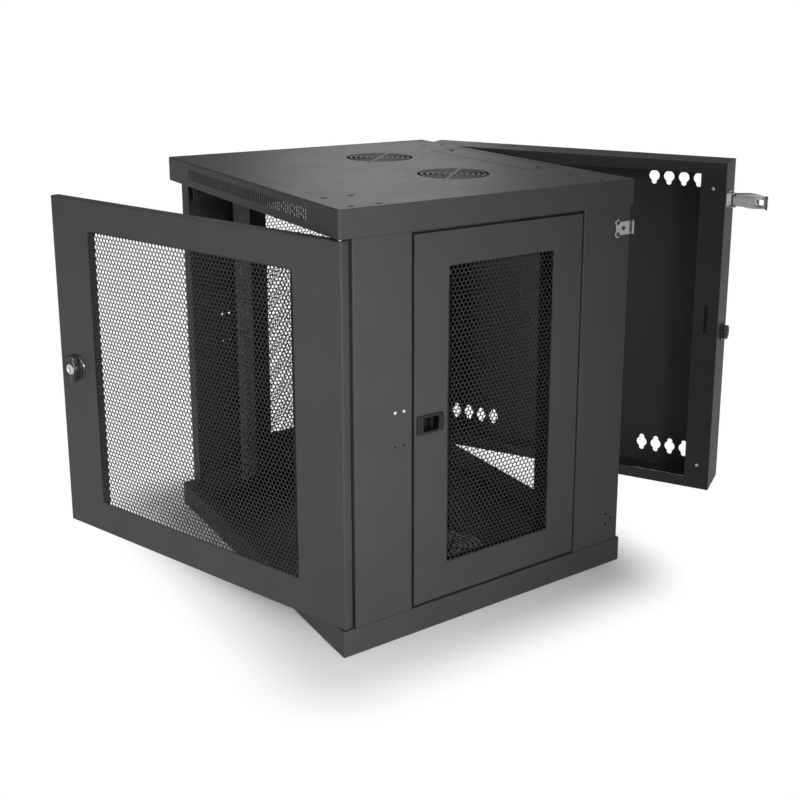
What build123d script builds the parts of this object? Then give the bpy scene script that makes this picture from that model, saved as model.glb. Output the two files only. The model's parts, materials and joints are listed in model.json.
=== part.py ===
from build123d import *
import os
from math import cos, radians, sin

# Swing-out wall mount network cabinet: a rack bay with a front door, hinged to a shallow rear section
# that hangs on the wall. +Z is up, the front faces -Y, and the origin is the middle of the underside.
# It is modelled with the front door and the rear section standing open.

# Overall sizes, in millimetres
WIDTH = 600
BODY_DEPTH = 515
HEIGHT = 635
SHEET = 1.5
BEND = 2.5
FIT = 0.3

# Trays that close the top and the bottom
SKIRT = 40
LIP = 20
FAN_X = 112
FAN_Y = 49
FAN_RADIUS = 57
FAN_RINGS = 6
FAN_RING_PITCH = 8.7
FAN_SLOT = 5.7
FAN_SPOKE = 4
FAN_SCREW_SPACING = 105
FAN_SCREW_RADIUS = 2.25
VENT_MARGIN = 88
VENT_PITCH = 6.7
VENT_SLOT_WIDTH = 3.6
VENT_SLOT_HEIGHT = 17

# Cable covers, flush in a stepped cut-out
COVER_WIDTH = 280
TRAY_COVER_DEPTH = 64
TRAY_COVER_FROM_BACK = 49.5
SECTION_COVER_DEPTH = 36
SECTION_COVER_OFF_MIDDLE = 6
SECTION_COVER_FROM_WALL = 26.5
COVER_GROOVE = 1
COVER_LEDGE = 12
COVER_SCREW_IN = 16
CABLE_SCREW_RADIUS = 4

# Corner posts and the side openings between them
POST_SETBACK = 20
POST_RETURN = 30
FRONT_STRIP_END = 113
REAR_STRIP_START = BODY_DEPTH - 98
REAR_STRIP_END = BODY_DEPTH - 5
REAR_RETURN = 45
LEDGE = 10
END_TAB = 18
STRIP_HOLE_Y = 92
STRIP_HOLE_SPACING = 14
STRIP_HOLE_ROWS = ((26.5, 2.5), (-23.5, 1.75))

# Side panels
PANEL_SEAM = 3
PANEL_TOP_GAP = 4.5
PANEL_RIM = 12
SIDE_MESH_FROM = FRONT_STRIP_END + 60
SIDE_MESH_TO = REAR_STRIP_START - 58
SIDE_MESH_Z = (SKIRT + 57, HEIGHT - SKIRT - 54)
PANEL_LATCH_Y = FRONT_STRIP_END + 30
PANEL_LATCH_Z = HEIGHT / 2 - 0.5
PANEL_LATCH_LENGTH = 46
PANEL_LATCH_HEIGHT = 28
PANEL_LATCH_PROUD = 2.2
PANEL_LATCH_BODY = 20
PANEL_LATCH_CUT = (36, 24)
POCKET_LENGTH = 25
POCKET_HEIGHT = 20
SLIDER_THICKNESS = 3
SLIDER_TAB = 6
SLIDER_TONGUE_HEIGHT = 12
PANEL_LATCH_BULGE = 6
PANEL_LATCH_HEEL = 10
PANEL_LATCH_CORNER = 2
PANEL_LATCH_EDGE = 0.7

# Front door
DOOR_OPEN = 21
DOOR_SEAM = 2
DOOR_THICKNESS = 16
DOOR_GAP = 2.2
DOOR_HINGE_IN = 7
DOOR_LIP = 10
HINGE_PIN_RADIUS = 3
HINGE_PIN_PROUD = 5
PIN_CLEARANCE = 0.05
HINGE_BLOCK = 12
DOOR_MESH_IN = 86
DOOR_MESH_Z = (SKIRT + 54, HEIGHT - SKIRT - 49)
STIFFENER_WIDTH = 26
STIFFENER_DEPTH = 11

# Perforation of the mesh sheets
MESH_PITCH = 48
MESH_HOLE = 40
MESH_MARGIN = 6

# Locks
DOOR_LOCK_IN = 40
DOOR_LOCK_Z = HEIGHT / 2 - 0.5
LOCK_ESCUTCHEON_RADIUS = 21
LOCK_ESCUTCHEON_THICKNESS = 3
LOCK_BARREL_RADIUS = 9
LOCK_BARREL_LENGTH = 12
LOCK_NUT_RADIUS = 14
LOCK_NUT_THICKNESS = 3
LOCK_SPINDLE_RADIUS = 5
KNOB_LENGTH = 46
KNOB_WIDTH = 15
KNOB_HUB_RADIUS = 13
KNOB_HEIGHT = 20
KNOB_TAPER = 6
KNOB_ROUNDING = 1.2
ROSE_TAPER = 20
CYLINDER_RADIUS = 9
CYLINDER_PROUD = 3
CYLINDER_DEPTH = 6
CYLINDER_EDGE = 0.8
KEYWAY = (7, 1.4, 2)
CAM_WIDTH = 14
CAM_THICKNESS = 2.5
CAM_SCREW_RADIUS = 4.5
CAM_SCREW_HEIGHT = 2.5
DOOR_CAM_LENGTH = 32

# Rack rails and the channels that carry them
UNIT = 44.45
UNIT_HOLES = (6.35, 22.225, 38.1)
RAIL_HOLE_SPACING = 465.1
RAIL_OPENING = 450
RAIL_FLANGE = 22
RAIL_RETURN = 30
RAIL_HOLE = 9.5
RAIL_END = 4
FRONT_RAIL_FROM = 92
REAR_RAIL_FROM = BODY_DEPTH - 110
CHANNEL_HEIGHT = 30
BOLT_RADIUS = 3
BOLT_HEAD_RADIUS = 5.5
BOLT_HEAD_HEIGHT = 3

# Rear section, which hangs on the wall
REAR_OPEN = 31
REAR_GAP = 2.5
REAR_DEPTH = 82.5
REAR_HINGE_SEAM = 3
REAR_LOCK_SEAM = 5
REAR_FOOT = 9
REAR_SIDE_FLANGE = 45
REAR_END_FLANGE = 21
KEYHOLE_RADIUS = 10
KEYHOLE_LOBE_RADIUS = 5
KEYHOLE_LOBE_OFFSET = 11
KEYHOLE_PITCH = 28
KEYHOLES_PER_GROUP = 4
KEYHOLES_FROM_HINGE = 82
KEYHOLES_FROM_LOCK = 107.5
KEYHOLE_EDGE = 42
FLANGE_SCREW_RADIUS = 3
FLANGE_SCREW_HEIGHT = 1
FLANGE_SCREW_FROM_END = 47
LATCH_CATCH_Z = HEIGHT - 75

# Hinges of the rear section
REAR_HINGE_OUT = 1.5
KNUCKLE_RADIUS = 4
REAR_HINGE_LEAF = 2
REAR_HINGE_HEIGHT = 66
REAR_HINGE_REACH = 30
REAR_HINGE_PIN_RADIUS = 2
REAR_HINGE_Z = (120, HEIGHT - 120)
KNUCKLE_GAP = 0.4
HINGE_PIN_OVER = 1
HINGE_PIN_CAP_RADIUS = 3
HINGE_PIN_CAP_HEIGHT = 1.5

# Lock of the rear section
REAR_LOCK_DEPTH = 50
REAR_LOCK_Z = HEIGHT / 2 - 11.5
REAR_LOCK_ESCUTCHEON_RADIUS = 17.5
REAR_KNOB_RADIUS = 14
REAR_KNOB_HEIGHT = 12
REAR_KNOB_TAPER = 4
REAR_KNOB_FLUTES = 8
REAR_KNOB_FLUTE_RADIUS = 2.5
REAR_CAM_LENGTH = 66
REAR_CAM_INSET = 22.5
REAR_CAM_SLOT = (6, REAR_LOCK_Z + 7, REAR_LOCK_Z + 59)

# Draw latch and its catch
LATCH_BASE_FROM = 5
LATCH_BASE_LENGTH = 42
LATCH_HEIGHT = 26
LATCH_PIVOT_DEPTH = 12
LATCH_PIVOT_OUT = 12
LATCH_PIN_RADIUS = 2
LATCH_RIVETS_FROM = 29
LATCH_RIVET_SPACING = (14, 18)
LATCH_RIVET_RADIUS = 2.6
HEAD_HEIGHT = 1.2
HEAD_TAPER = 15
LATCH_LEVER_LENGTH = 58
LATCH_LEVER_SIDE = 11.5
LATCH_LEVER_LIP = 5.5
LATCH_LEVER_NOSE = (8, 16, 5)
LATCH_WINDOW_FROM_END = 14
LATCH_WINDOW_CORNER = 1.5
LATCH_HOOK_AHEAD = 14
LATCH_HOOK_UNDER = 5
LATCH_HOOK_LENGTH = 30
LATCH_HOOK_WIDTH = 12
LATCH_CLAW = 3
LATCH_WINDOW = 10
CATCH_FROM = BODY_DEPTH - 38
CATCH_LENGTH = 38
CATCH_HEIGHT = 24
CATCH_SCREW_SPACING = 18
CATCH_SCREW_RADIUS = 2.2
CATCH_SCREW_HEAD = 1.2
CATCH_SCREWS_FROM_BACK = (31, 20)
LOWER_CATCH_Z = 79
CATCH_LIP = 4
CATCH_BEND = 1.6

# Places that follow from the sizes above
FRONT = -BODY_DEPTH / 2
BACK = BODY_DEPTH / 2
HALF = WIDTH / 2
SIDE = HALF - SHEET
BAY_BOTTOM = SKIRT
BAY_TOP = HEIGHT - SKIRT
REAR_TOP = HEIGHT - REAR_FOOT
LEDGE_FACE = SIDE - PANEL_RIM
DOOR_BOTTOM = SKIRT + DOOR_GAP
DOOR_TOP = HEIGHT - SKIRT - DOOR_GAP
DOOR_WIDTH = WIDTH - 2 * DOOR_SEAM
DOOR_MESH_WIDTH = DOOR_WIDTH - 2 * DOOR_MESH_IN
DOOR_SIDE = DOOR_WIDTH / 2
DOOR_AXIS = (DOOR_SIDE - DOOR_HINGE_IN, FRONT + DOOR_HINGE_IN)
REAR_AXIS = (-HALF - REAR_HINGE_OUT, BACK + REAR_GAP / 2)
TRAY_COVER_Y = BACK - TRAY_COVER_FROM_BACK
COVER_SCREW_X = COVER_WIDTH / 2 - COVER_SCREW_IN
VENT_SLOTS = int((WIDTH - 2 * VENT_MARGIN) // VENT_PITCH)
REAR_WIDTH = WIDTH - REAR_HINGE_SEAM - REAR_LOCK_SEAM
UNITS = int((BAY_TOP - BAY_BOTTOM) // UNIT)
RAIL_BOTTOM = (HEIGHT - UNITS * UNIT) / 2
HOLE_HALF = RAIL_HOLE_SPACING / 2
RAIL_WEB = RAIL_OPENING / 2 + RAIL_FLANGE


def swung(axis, angle):
    """The plane of a door at its open angle: x and y start at the hinge axis, as in the closed cabinet."""
    turn = radians(angle)
    return Plane(origin=(axis[0], axis[1], 0), x_dir=(cos(turn), sin(turn), 0), z_dir=(0, 0, 1))


def facing(plane, x, y, z=0):
    """The front view of a swung plane, at a point of it: sketches see x to the right and z up."""
    spot = plane.from_local_coords(Vector(x, y, z))
    return Plane(origin=spot, x_dir=plane.x_dir, z_dir=-plane.y_dir)


def sideways(plane, x, y, z=0):
    """The view onto a swung plane's right side, at a point of it: sketches see y to the right and z up."""
    spot = plane.from_local_coords(Vector(x, y, z))
    return Plane(origin=spot, x_dir=plane.y_dir, z_dir=plane.x_dir)


DOOR = swung(DOOR_AXIS, DOOR_OPEN)
REAR = swung(REAR_AXIS, REAR_OPEN)

# Places in the door's own frame and in the rear section's own frame
DOOR_FACE = FRONT - DOOR_AXIS[1]
DOOR_MIDDLE = -DOOR_AXIS[0]
DOOR_BACK = DOOR_FACE + DOOR_THICKNESS
LOCK_LOCAL_X = DOOR_LOCK_IN - DOOR_SIDE - DOOR_AXIS[0]
REAR_LEFT = REAR_HINGE_OUT + REAR_HINGE_SEAM
REAR_RIGHT = REAR_LEFT + REAR_WIDTH
REAR_FACE = REAR_GAP / 2
REAR_WALL = REAR_FACE + REAR_DEPTH
REAR_MIDDLE_Z = (REAR_FOOT + REAR_TOP) / 2

os.makedirs("parts", exist_ok=True)


def save(builder, name):
    """Label a finished piece and write it to its own file."""
    builder.part.label = name
    export_step(builder.part, f"parts/{name}.step")
    print(name)


def ring_grille(plane):
    """Concentric slots with four spokes over each fan opening, and the four screw holes round it."""
    with BuildSketch(plane) as grille:
        with Locations((-FAN_X, FAN_Y), (FAN_X, FAN_Y)):
            for ring in range(FAN_RINGS):
                outer = FAN_RADIUS - ring * FAN_RING_PITCH
                Circle(outer)
                Circle(outer - FAN_SLOT, mode=Mode.SUBTRACT)
            for angle in (45, 135):
                Rectangle(2 * FAN_RADIUS + 2, FAN_SPOKE, rotation=angle, mode=Mode.SUBTRACT)
            with GridLocations(FAN_SCREW_SPACING, FAN_SCREW_SPACING, 2, 2):
                Circle(FAN_SCREW_RADIUS)
    return grille


def stepped_cut(plane, middle, depth, inward):
    """A cut-out for a flush cover in the builder at work: the opening, and a ledge one sheet lower."""
    with BuildSketch(plane) as opening:
        with Locations(middle):
            Rectangle(COVER_WIDTH + 2 * COVER_GROOVE, depth + 2 * COVER_GROOVE)
    extrude(opening.sketch, amount=inward * SHEET, mode=Mode.SUBTRACT)
    with BuildSketch(plane.offset(inward * SHEET)) as ledge:
        with Locations(middle):
            Rectangle(COVER_WIDTH + COVER_LEDGE, depth + COVER_LEDGE)
            Rectangle(COVER_WIDTH - 4 * COVER_LEDGE, depth - COVER_LEDGE, mode=Mode.SUBTRACT)
            with GridLocations(2 * COVER_SCREW_X, 0, 2, 1):
                Circle(CABLE_SCREW_RADIUS / 2, mode=Mode.SUBTRACT)
    extrude(ledge.sketch, amount=inward * SHEET)


def flush_cover(plane, middle, depth, inward):
    """The flat cover plate that lies in a stepped cut-out."""
    with BuildPart() as cover:
        with BuildSketch(plane):
            with Locations(middle):
                Rectangle(COVER_WIDTH, depth)
                with GridLocations(2 * COVER_SCREW_X, 0, 2, 1):
                    Circle(CABLE_SCREW_RADIUS / 2, mode=Mode.SUBTRACT)
        extrude(amount=inward * SHEET)
    return cover


def cover_screws(plane, middle, inward):
    """The two pan-head screws of a cover, in the builder at work."""
    for radius, length in ((CABLE_SCREW_RADIUS, -CABLE_SCREW_RADIUS / 2), (CABLE_SCREW_RADIUS / 2, 4 * SHEET)):
        with BuildSketch(plane) as screws:
            with Locations(middle):
                with GridLocations(2 * COVER_SCREW_X, 0, 2, 1):
                    Circle(radius)
        extrude(screws.sketch, amount=inward * length)


def tray(plate_up):
    """A folded tray: plate, four skirts, a lip round the open side, the fan grilles and the cable cut-out."""
    low = HEIGHT - SKIRT if plate_up else 0
    plate_side, open_side = (-1, 0) if plate_up else (0, -1)
    plate_z = HEIGHT if plate_up else 0
    lip_z = low if plate_up else SKIRT - SHEET
    inward = -1 if plate_up else 1
    with BuildPart() as pan:
        with BuildSketch(Plane.XY.offset(low)):
            Rectangle(WIDTH, BODY_DEPTH)
        extrude(amount=SKIRT)
        fillet(pan.edges().filter_by(Axis.Z), BEND)
        fillet(pan.faces().sort_by(Axis.Z)[plate_side].edges(), BEND)
        offset(amount=-SHEET, openings=pan.faces().sort_by(Axis.Z)[open_side])
        with BuildSketch(Plane.XY.offset(lip_z)):
            RectangleRounded(WIDTH, BODY_DEPTH, BEND)
            Rectangle(WIDTH - 2 * LIP, BODY_DEPTH - 2 * LIP, mode=Mode.SUBTRACT)
        extrude(amount=SHEET)
        fillet(pan.faces().sort_by(Axis.Z)[open_side].outer_wire().edges(), BEND / 2)
        grille = ring_grille(Plane.XY.offset(plate_z))
        extrude(grille.sketch, amount=inward * SHEET, mode=Mode.SUBTRACT)
        stepped_cut(Plane.XY.offset(plate_z), (0, TRAY_COVER_Y), TRAY_COVER_DEPTH, inward)
        with BuildSketch(Plane.XY.offset(lip_z)):
            with Locations(DOOR_AXIS):
                Circle(HINGE_PIN_RADIUS + PIN_CLEARANCE)
        extrude(amount=SHEET, mode=Mode.SUBTRACT)
    return pan


# Top tray, with a band of slots for air along its front skirt
with BuildPart() as top_tray:
    add(tray(True).part)
    with BuildSketch(Plane.XZ.offset(-FRONT)):
        with Locations((0, HEIGHT - SKIRT / 2)):
            with GridLocations(VENT_PITCH, 0, VENT_SLOTS, 1):
                Rectangle(VENT_SLOT_WIDTH, VENT_SLOT_HEIGHT)
    extrude(amount=-SHEET, mode=Mode.SUBTRACT)
save(top_tray, "top_tray")

bottom_tray = tray(False)
save(bottom_tray, "bottom_tray")

TOP_PLATE = Plane.XY.offset(HEIGHT)
BOTTOM_PLATE = Plane.XY.offset(0)
COVER_MIDDLE = (0, TRAY_COVER_Y)
save(flush_cover(TOP_PLATE, COVER_MIDDLE, TRAY_COVER_DEPTH, -1), "top_cable_cover")
save(flush_cover(BOTTOM_PLATE, COVER_MIDDLE, TRAY_COVER_DEPTH, 1), "bottom_cable_cover")

with BuildPart() as top_cover_screws:
    cover_screws(TOP_PLATE, COVER_MIDDLE, -1)
save(top_cover_screws, "top_cover_screws")

# The screws of the bottom cover are countersunk flush, because the cabinet stands on this plate
with BuildPart() as bottom_cover_screws:
    with BuildSketch(BOTTOM_PLATE):
        with Locations(COVER_MIDDLE):
            with GridLocations(2 * COVER_SCREW_X, 0, 2, 1):
                Circle(CABLE_SCREW_RADIUS / 2)
    extrude(amount=4 * SHEET)
save(bottom_cover_screws, "bottom_cover_screws")


def folded(points, low, high):
    """A strip folded along points seen from above, with rounded bends, between two heights."""
    with BuildPart() as strip:
        with BuildSketch(Plane.XY.offset(low)):
            with BuildLine():
                FilletPolyline(*points, radius=BEND - SHEET / 2)
            trace(line_width=SHEET)
        extrude(amount=high - low)
    return strip


def end_tabs(low, high, x, y):
    """Tabs across a post's two ends, in the builder at work, by which it is screwed to the tray lips."""
    for level in (low, high - SHEET):
        with BuildSketch(Plane.XY.offset(level)) as tab:
            with Locations(((x[0] + x[1]) / 2, (y[0] + y[1]) / 2)):
                Rectangle(x[1] - x[0], y[1] - y[0])
        extrude(tab.sketch, amount=SHEET)


# Right front post: front return, side strip, and a rebate that the side panel closes against
MID = SHEET / 2
POST_FRONT = FRONT + POST_SETBACK
FRONT_STRIP_Y = FRONT + FRONT_STRIP_END
REAR_STRIP_Y = FRONT + REAR_STRIP_START
REAR_END_Y = FRONT + REAR_STRIP_END
with BuildPart() as front_right_post:
    add(folded([
        (SIDE - POST_RETURN, POST_FRONT + MID),
        (SIDE - MID, POST_FRONT + MID),
        (SIDE - MID, FRONT_STRIP_Y - MID),
        (LEDGE_FACE - MID - FIT, FRONT_STRIP_Y - MID),
        (LEDGE_FACE - MID - FIT, FRONT_STRIP_Y + LEDGE),
    ], BAY_BOTTOM, BAY_TOP).part)
    end_tabs(BAY_BOTTOM, BAY_TOP, (SIDE - END_TAB, SIDE - SHEET), (POST_FRONT + SHEET, FRONT_STRIP_Y - SHEET))
    with BuildSketch(Plane.YZ.offset(SIDE)):
        for above_middle, radius in STRIP_HOLE_ROWS:
            with Locations((FRONT + STRIP_HOLE_Y, HEIGHT / 2 + above_middle)):
                with GridLocations(STRIP_HOLE_SPACING, 0, 2, 1):
                    Circle(radius)
    extrude(amount=-SHEET, mode=Mode.SUBTRACT)
save(front_right_post, "front_right_post")

with BuildPart() as front_left_post:
    mirror(front_right_post.part, about=Plane.YZ)
save(front_left_post, "front_left_post")

# Rear posts, with a wide return that the rear section closes against
REAR_POST_PATH = [
    (LEDGE_FACE - MID - FIT, REAR_STRIP_Y - LEDGE),
    (LEDGE_FACE - MID - FIT, REAR_STRIP_Y + MID),
    (SIDE - MID, REAR_STRIP_Y + MID),
    (SIDE - MID, REAR_END_Y - MID),
    (SIDE - REAR_RETURN, REAR_END_Y - MID),
]
CAM_SLOT_X = REAR_AXIS[0] + REAR_RIGHT - REAR_CAM_INSET
CATCH_SPOTS = [
    (BACK - CATCH_SCREWS_FROM_BACK[0], CATCH_SCREW_SPACING / 2),
    (BACK - CATCH_SCREWS_FROM_BACK[0], -CATCH_SCREW_SPACING / 2), (BACK - CATCH_SCREWS_FROM_BACK[1], 0),
]
with BuildPart() as rear_right_post:
    add(folded(REAR_POST_PATH, BAY_BOTTOM, BAY_TOP).part)
    end_tabs(BAY_BOTTOM, BAY_TOP, (SIDE - END_TAB, SIDE - SHEET), (REAR_STRIP_Y + SHEET, REAR_END_Y - SHEET))
    with BuildSketch(Plane.XZ.offset(-REAR_END_Y)):
        with Locations((CAM_SLOT_X, (REAR_CAM_SLOT[1] + REAR_CAM_SLOT[2]) / 2)):
            Rectangle(REAR_CAM_SLOT[0], REAR_CAM_SLOT[2] - REAR_CAM_SLOT[1])
    extrude(amount=SHEET, mode=Mode.SUBTRACT)
    with BuildSketch(Plane.YZ.offset(SIDE)):
        with Locations((0, LATCH_CATCH_Z), (0, LOWER_CATCH_Z)):
            with Locations(*CATCH_SPOTS):
                Circle(CATCH_SCREW_RADIUS)
    extrude(amount=-SHEET, mode=Mode.SUBTRACT)
save(rear_right_post, "rear_right_post")

with BuildPart() as rear_left_post:
    mirror(folded(REAR_POST_PATH, BAY_BOTTOM, BAY_TOP).part, about=Plane.YZ)
    end_tabs(BAY_BOTTOM, BAY_TOP, (SHEET - SIDE, END_TAB - SIDE), (REAR_STRIP_Y + SHEET, REAR_END_Y - SHEET))
save(rear_left_post, "rear_left_post")

# Channels between the posts, one above and one below on each side, which carry the rack rails
CHANNEL_X = (RAIL_WEB + MID, LEDGE_FACE - FIT - SHEET)
CHANNEL_Y = (POST_FRONT + SHEET, REAR_END_Y - SHEET)


def rail_channel(low, open_up):
    """A U-shaped channel along the depth of the cabinet, on its right side."""
    floor = low if open_up else low + CHANNEL_HEIGHT
    wall = CHANNEL_HEIGHT if open_up else -CHANNEL_HEIGHT
    rim = floor + wall
    fold = SHEET / 2 if open_up else -SHEET / 2
    with BuildPart() as channel:
        with BuildSketch(Plane.XZ.offset(-CHANNEL_Y[0])):
            with BuildLine():
                Polyline(
                    (CHANNEL_X[0] + MID, rim), (CHANNEL_X[0] + MID, floor + fold),
                    (CHANNEL_X[1] - MID, floor + fold), (CHANNEL_X[1] - MID, rim),
                )
            trace(line_width=SHEET)
        extrude(amount=CHANNEL_Y[0] - CHANNEL_Y[1])
        with BuildSketch(Plane.YZ.offset(CHANNEL_X[0])):
            with Locations(*[(y, low + CHANNEL_HEIGHT / 2) for y in BOLT_Y]):
                Circle(BOLT_RADIUS)
        extrude(amount=SHEET, mode=Mode.SUBTRACT)
    return channel


LOWER_CHANNEL_Z = BAY_BOTTOM + SHEET
UPPER_CHANNEL_Z = BAY_TOP - SHEET - CHANNEL_HEIGHT
FRONT_RAIL_Y = FRONT + FRONT_RAIL_FROM
REAR_RAIL_Y = FRONT + REAR_RAIL_FROM
BOLT_Y = (FRONT_RAIL_Y + RAIL_RETURN / 2, REAR_RAIL_Y - RAIL_RETURN / 2)
for level, low, open_up in (("lower", LOWER_CHANNEL_Z, True), ("upper", UPPER_CHANNEL_Z, False)):
    right_channel = rail_channel(low, open_up)
    save(right_channel, f"{level}_right_rail_channel")
    with BuildPart() as left_channel:
        mirror(right_channel.part, about=Plane.YZ)
    save(left_channel, f"{level}_left_rail_channel")


def rack_rail(face_y, away):
    """A right-hand rack rail: a flange with square holes, and a return bolted to the channels."""
    low = LOWER_CHANNEL_Z + RAIL_END
    high = UPPER_CHANNEL_Z + CHANNEL_HEIGHT - RAIL_END
    with BuildPart() as rail:
        with BuildSketch(Plane.XY.offset(low)):
            with BuildLine():
                Polyline(
                    (RAIL_OPENING / 2, face_y + away * MID), (RAIL_WEB, face_y + away * MID),
                    (RAIL_WEB, face_y + away * RAIL_RETURN),
                )
            trace(line_width=SHEET)
        extrude(amount=high - low)
        with BuildSketch(Plane.XZ.offset(-face_y)):
            for unit in range(UNITS):
                for hole in UNIT_HOLES:
                    with Locations((HOLE_HALF, RAIL_BOTTOM + unit * UNIT + hole)):
                        Rectangle(RAIL_HOLE, RAIL_HOLE)
        extrude(amount=-away * SHEET, mode=Mode.SUBTRACT)
        with BuildSketch(Plane.YZ.offset(RAIL_WEB - MID)):
            with Locations(*[(face_y + away * RAIL_RETURN / 2, z) for z in BOLT_Z]):
                Circle(BOLT_RADIUS)
        extrude(amount=SHEET, mode=Mode.SUBTRACT)
    return rail


BOLT_Z = (LOWER_CHANNEL_Z + CHANNEL_HEIGHT / 2, UPPER_CHANNEL_Z + CHANNEL_HEIGHT / 2)
for place, face_y, away in (("front", FRONT_RAIL_Y, 1), ("rear", REAR_RAIL_Y, -1)):
    right_rail = rack_rail(face_y, away)
    save(right_rail, f"{place}_right_rail")
    with BuildPart() as left_rail:
        mirror(right_rail.part, about=Plane.YZ)
    save(left_rail, f"{place}_left_rail")

with BuildPart() as rail_bolts:
    for side in (1, -1):
        with BuildSketch(Plane.YZ.offset(side * (RAIL_WEB - MID))):
            with Locations(*[(y, z) for y in BOLT_Y for z in BOLT_Z]):
                Circle(BOLT_HEAD_RADIUS)
        extrude(amount=-side * BOLT_HEAD_HEIGHT)
        with BuildSketch(Plane.YZ.offset(side * (RAIL_WEB - MID))):
            with Locations(*[(y, z) for y in BOLT_Y for z in BOLT_Z]):
                Circle(BOLT_RADIUS)
        extrude(amount=side * 4 * SHEET)
save(rail_bolts, "rail_bolts")


def perforated_sheet(plane, width, height, thickness):
    """A sheet centred on its plane's origin, punched with a staggered pattern of holes."""
    with BuildPart() as sheet:
        with BuildSketch(plane):
            Rectangle(width, height)
            columns = int((width - 2 * MESH_MARGIN - MESH_HOLE) // MESH_PITCH) + 1
            row_pitch = MESH_PITCH * sin(radians(60))
            rows = int((height - 2 * MESH_MARGIN - MESH_HOLE) // row_pitch) + 1
            for row in range(rows):
                shorter = row % 2
                with Locations((0, (row - (rows - 1) / 2) * row_pitch)):
                    with GridLocations(MESH_PITCH, 0, columns - shorter, 1):
                        RegularPolygon(MESH_HOLE / 2, 6, rotation=30, mode=Mode.SUBTRACT)
        extrude(amount=thickness)
    return sheet


# Right side panel: a shallow pan with a window for the mesh and a hole for its slide latch
PANEL_Y = (FRONT_STRIP_Y + PANEL_SEAM, REAR_STRIP_Y - PANEL_SEAM)
PANEL_Z = (BAY_BOTTOM + PANEL_SEAM, BAY_TOP - PANEL_TOP_GAP)
PANEL_MIDDLE = ((PANEL_Y[0] + PANEL_Y[1]) / 2, (PANEL_Z[0] + PANEL_Z[1]) / 2)
SIDE_MESH_MIDDLE = (FRONT + (SIDE_MESH_FROM + SIDE_MESH_TO) / 2, sum(SIDE_MESH_Z) / 2)
SIDE_MESH_SIZE = (SIDE_MESH_TO - SIDE_MESH_FROM, SIDE_MESH_Z[1] - SIDE_MESH_Z[0])
LATCH_SPOT = (FRONT + PANEL_LATCH_Y, PANEL_LATCH_Z)
with BuildPart() as right_panel:
    with BuildSketch(Plane.YZ.offset(SIDE)):
        with Locations(PANEL_MIDDLE):
            Rectangle(PANEL_Y[1] - PANEL_Y[0], PANEL_Z[1] - PANEL_Z[0])
    extrude(amount=-PANEL_RIM)
    fillet(right_panel.faces().sort_by(Axis.X)[-1].edges(), BEND / 2)
    offset(amount=-SHEET, openings=right_panel.faces().sort_by(Axis.X)[0])
    with BuildSketch(Plane.YZ.offset(SIDE)):
        with Locations(SIDE_MESH_MIDDLE):
            Rectangle(*SIDE_MESH_SIZE)
        with Locations(LATCH_SPOT):
            Rectangle(*PANEL_LATCH_CUT)
    extrude(amount=-SHEET, mode=Mode.SUBTRACT)

right_panel_mesh = perforated_sheet(
    Plane(origin=(SIDE - SHEET, *SIDE_MESH_MIDDLE), x_dir=(0, 1, 0), z_dir=(1, 0, 0)), *SIDE_MESH_SIZE, SHEET)

# Slide latch of the right panel: a plate with a finger pocket, and a body behind the sheet
LATCH_FACE = SIDE + PANEL_LATCH_PROUD
with BuildPart() as right_latch_housing:
    with BuildSketch(Plane.YZ.offset(SIDE)):
        with Locations(LATCH_SPOT):
            Rectangle(PANEL_LATCH_LENGTH - PANEL_LATCH_BULGE, PANEL_LATCH_HEIGHT)
        with Locations((LATCH_SPOT[0] + PANEL_LATCH_LENGTH / 2 - PANEL_LATCH_BULGE, LATCH_SPOT[1])):
            Ellipse(PANEL_LATCH_BULGE, PANEL_LATCH_HEIGHT / 2)
        with Locations((LATCH_SPOT[0] - PANEL_LATCH_LENGTH / 2 + PANEL_LATCH_HEEL / 2, LATCH_SPOT[1])):
            RectangleRounded(PANEL_LATCH_HEEL, PANEL_LATCH_HEIGHT, PANEL_LATCH_CORNER)
    extrude(amount=PANEL_LATCH_PROUD)
    chamfer(right_latch_housing.faces().sort_by(Axis.X)[-1].edges(), PANEL_LATCH_EDGE)
    with BuildSketch(Plane.YZ.offset(SIDE)):
        with Locations(LATCH_SPOT):
            Rectangle(*PANEL_LATCH_CUT)
    extrude(amount=-PANEL_LATCH_BODY)
    with BuildSketch(Plane.YZ.offset(LATCH_FACE)):
        with Locations(LATCH_SPOT):
            Rectangle(POCKET_LENGTH, POCKET_HEIGHT)
    extrude(amount=-PANEL_LATCH_PROUD - PANEL_LATCH_BODY + SHEET + SLIDER_THICKNESS, mode=Mode.SUBTRACT)
    with BuildSketch(Plane.YZ.offset(SIDE - PANEL_LATCH_BODY + SHEET)):
        with Locations((LATCH_SPOT[0] - PANEL_LATCH_LENGTH / 4, LATCH_SPOT[1])):
            Rectangle(PANEL_LATCH_LENGTH, SLIDER_TONGUE_HEIGHT + 2 * FIT)
    extrude(amount=SLIDER_THICKNESS + FIT, mode=Mode.SUBTRACT)

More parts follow.
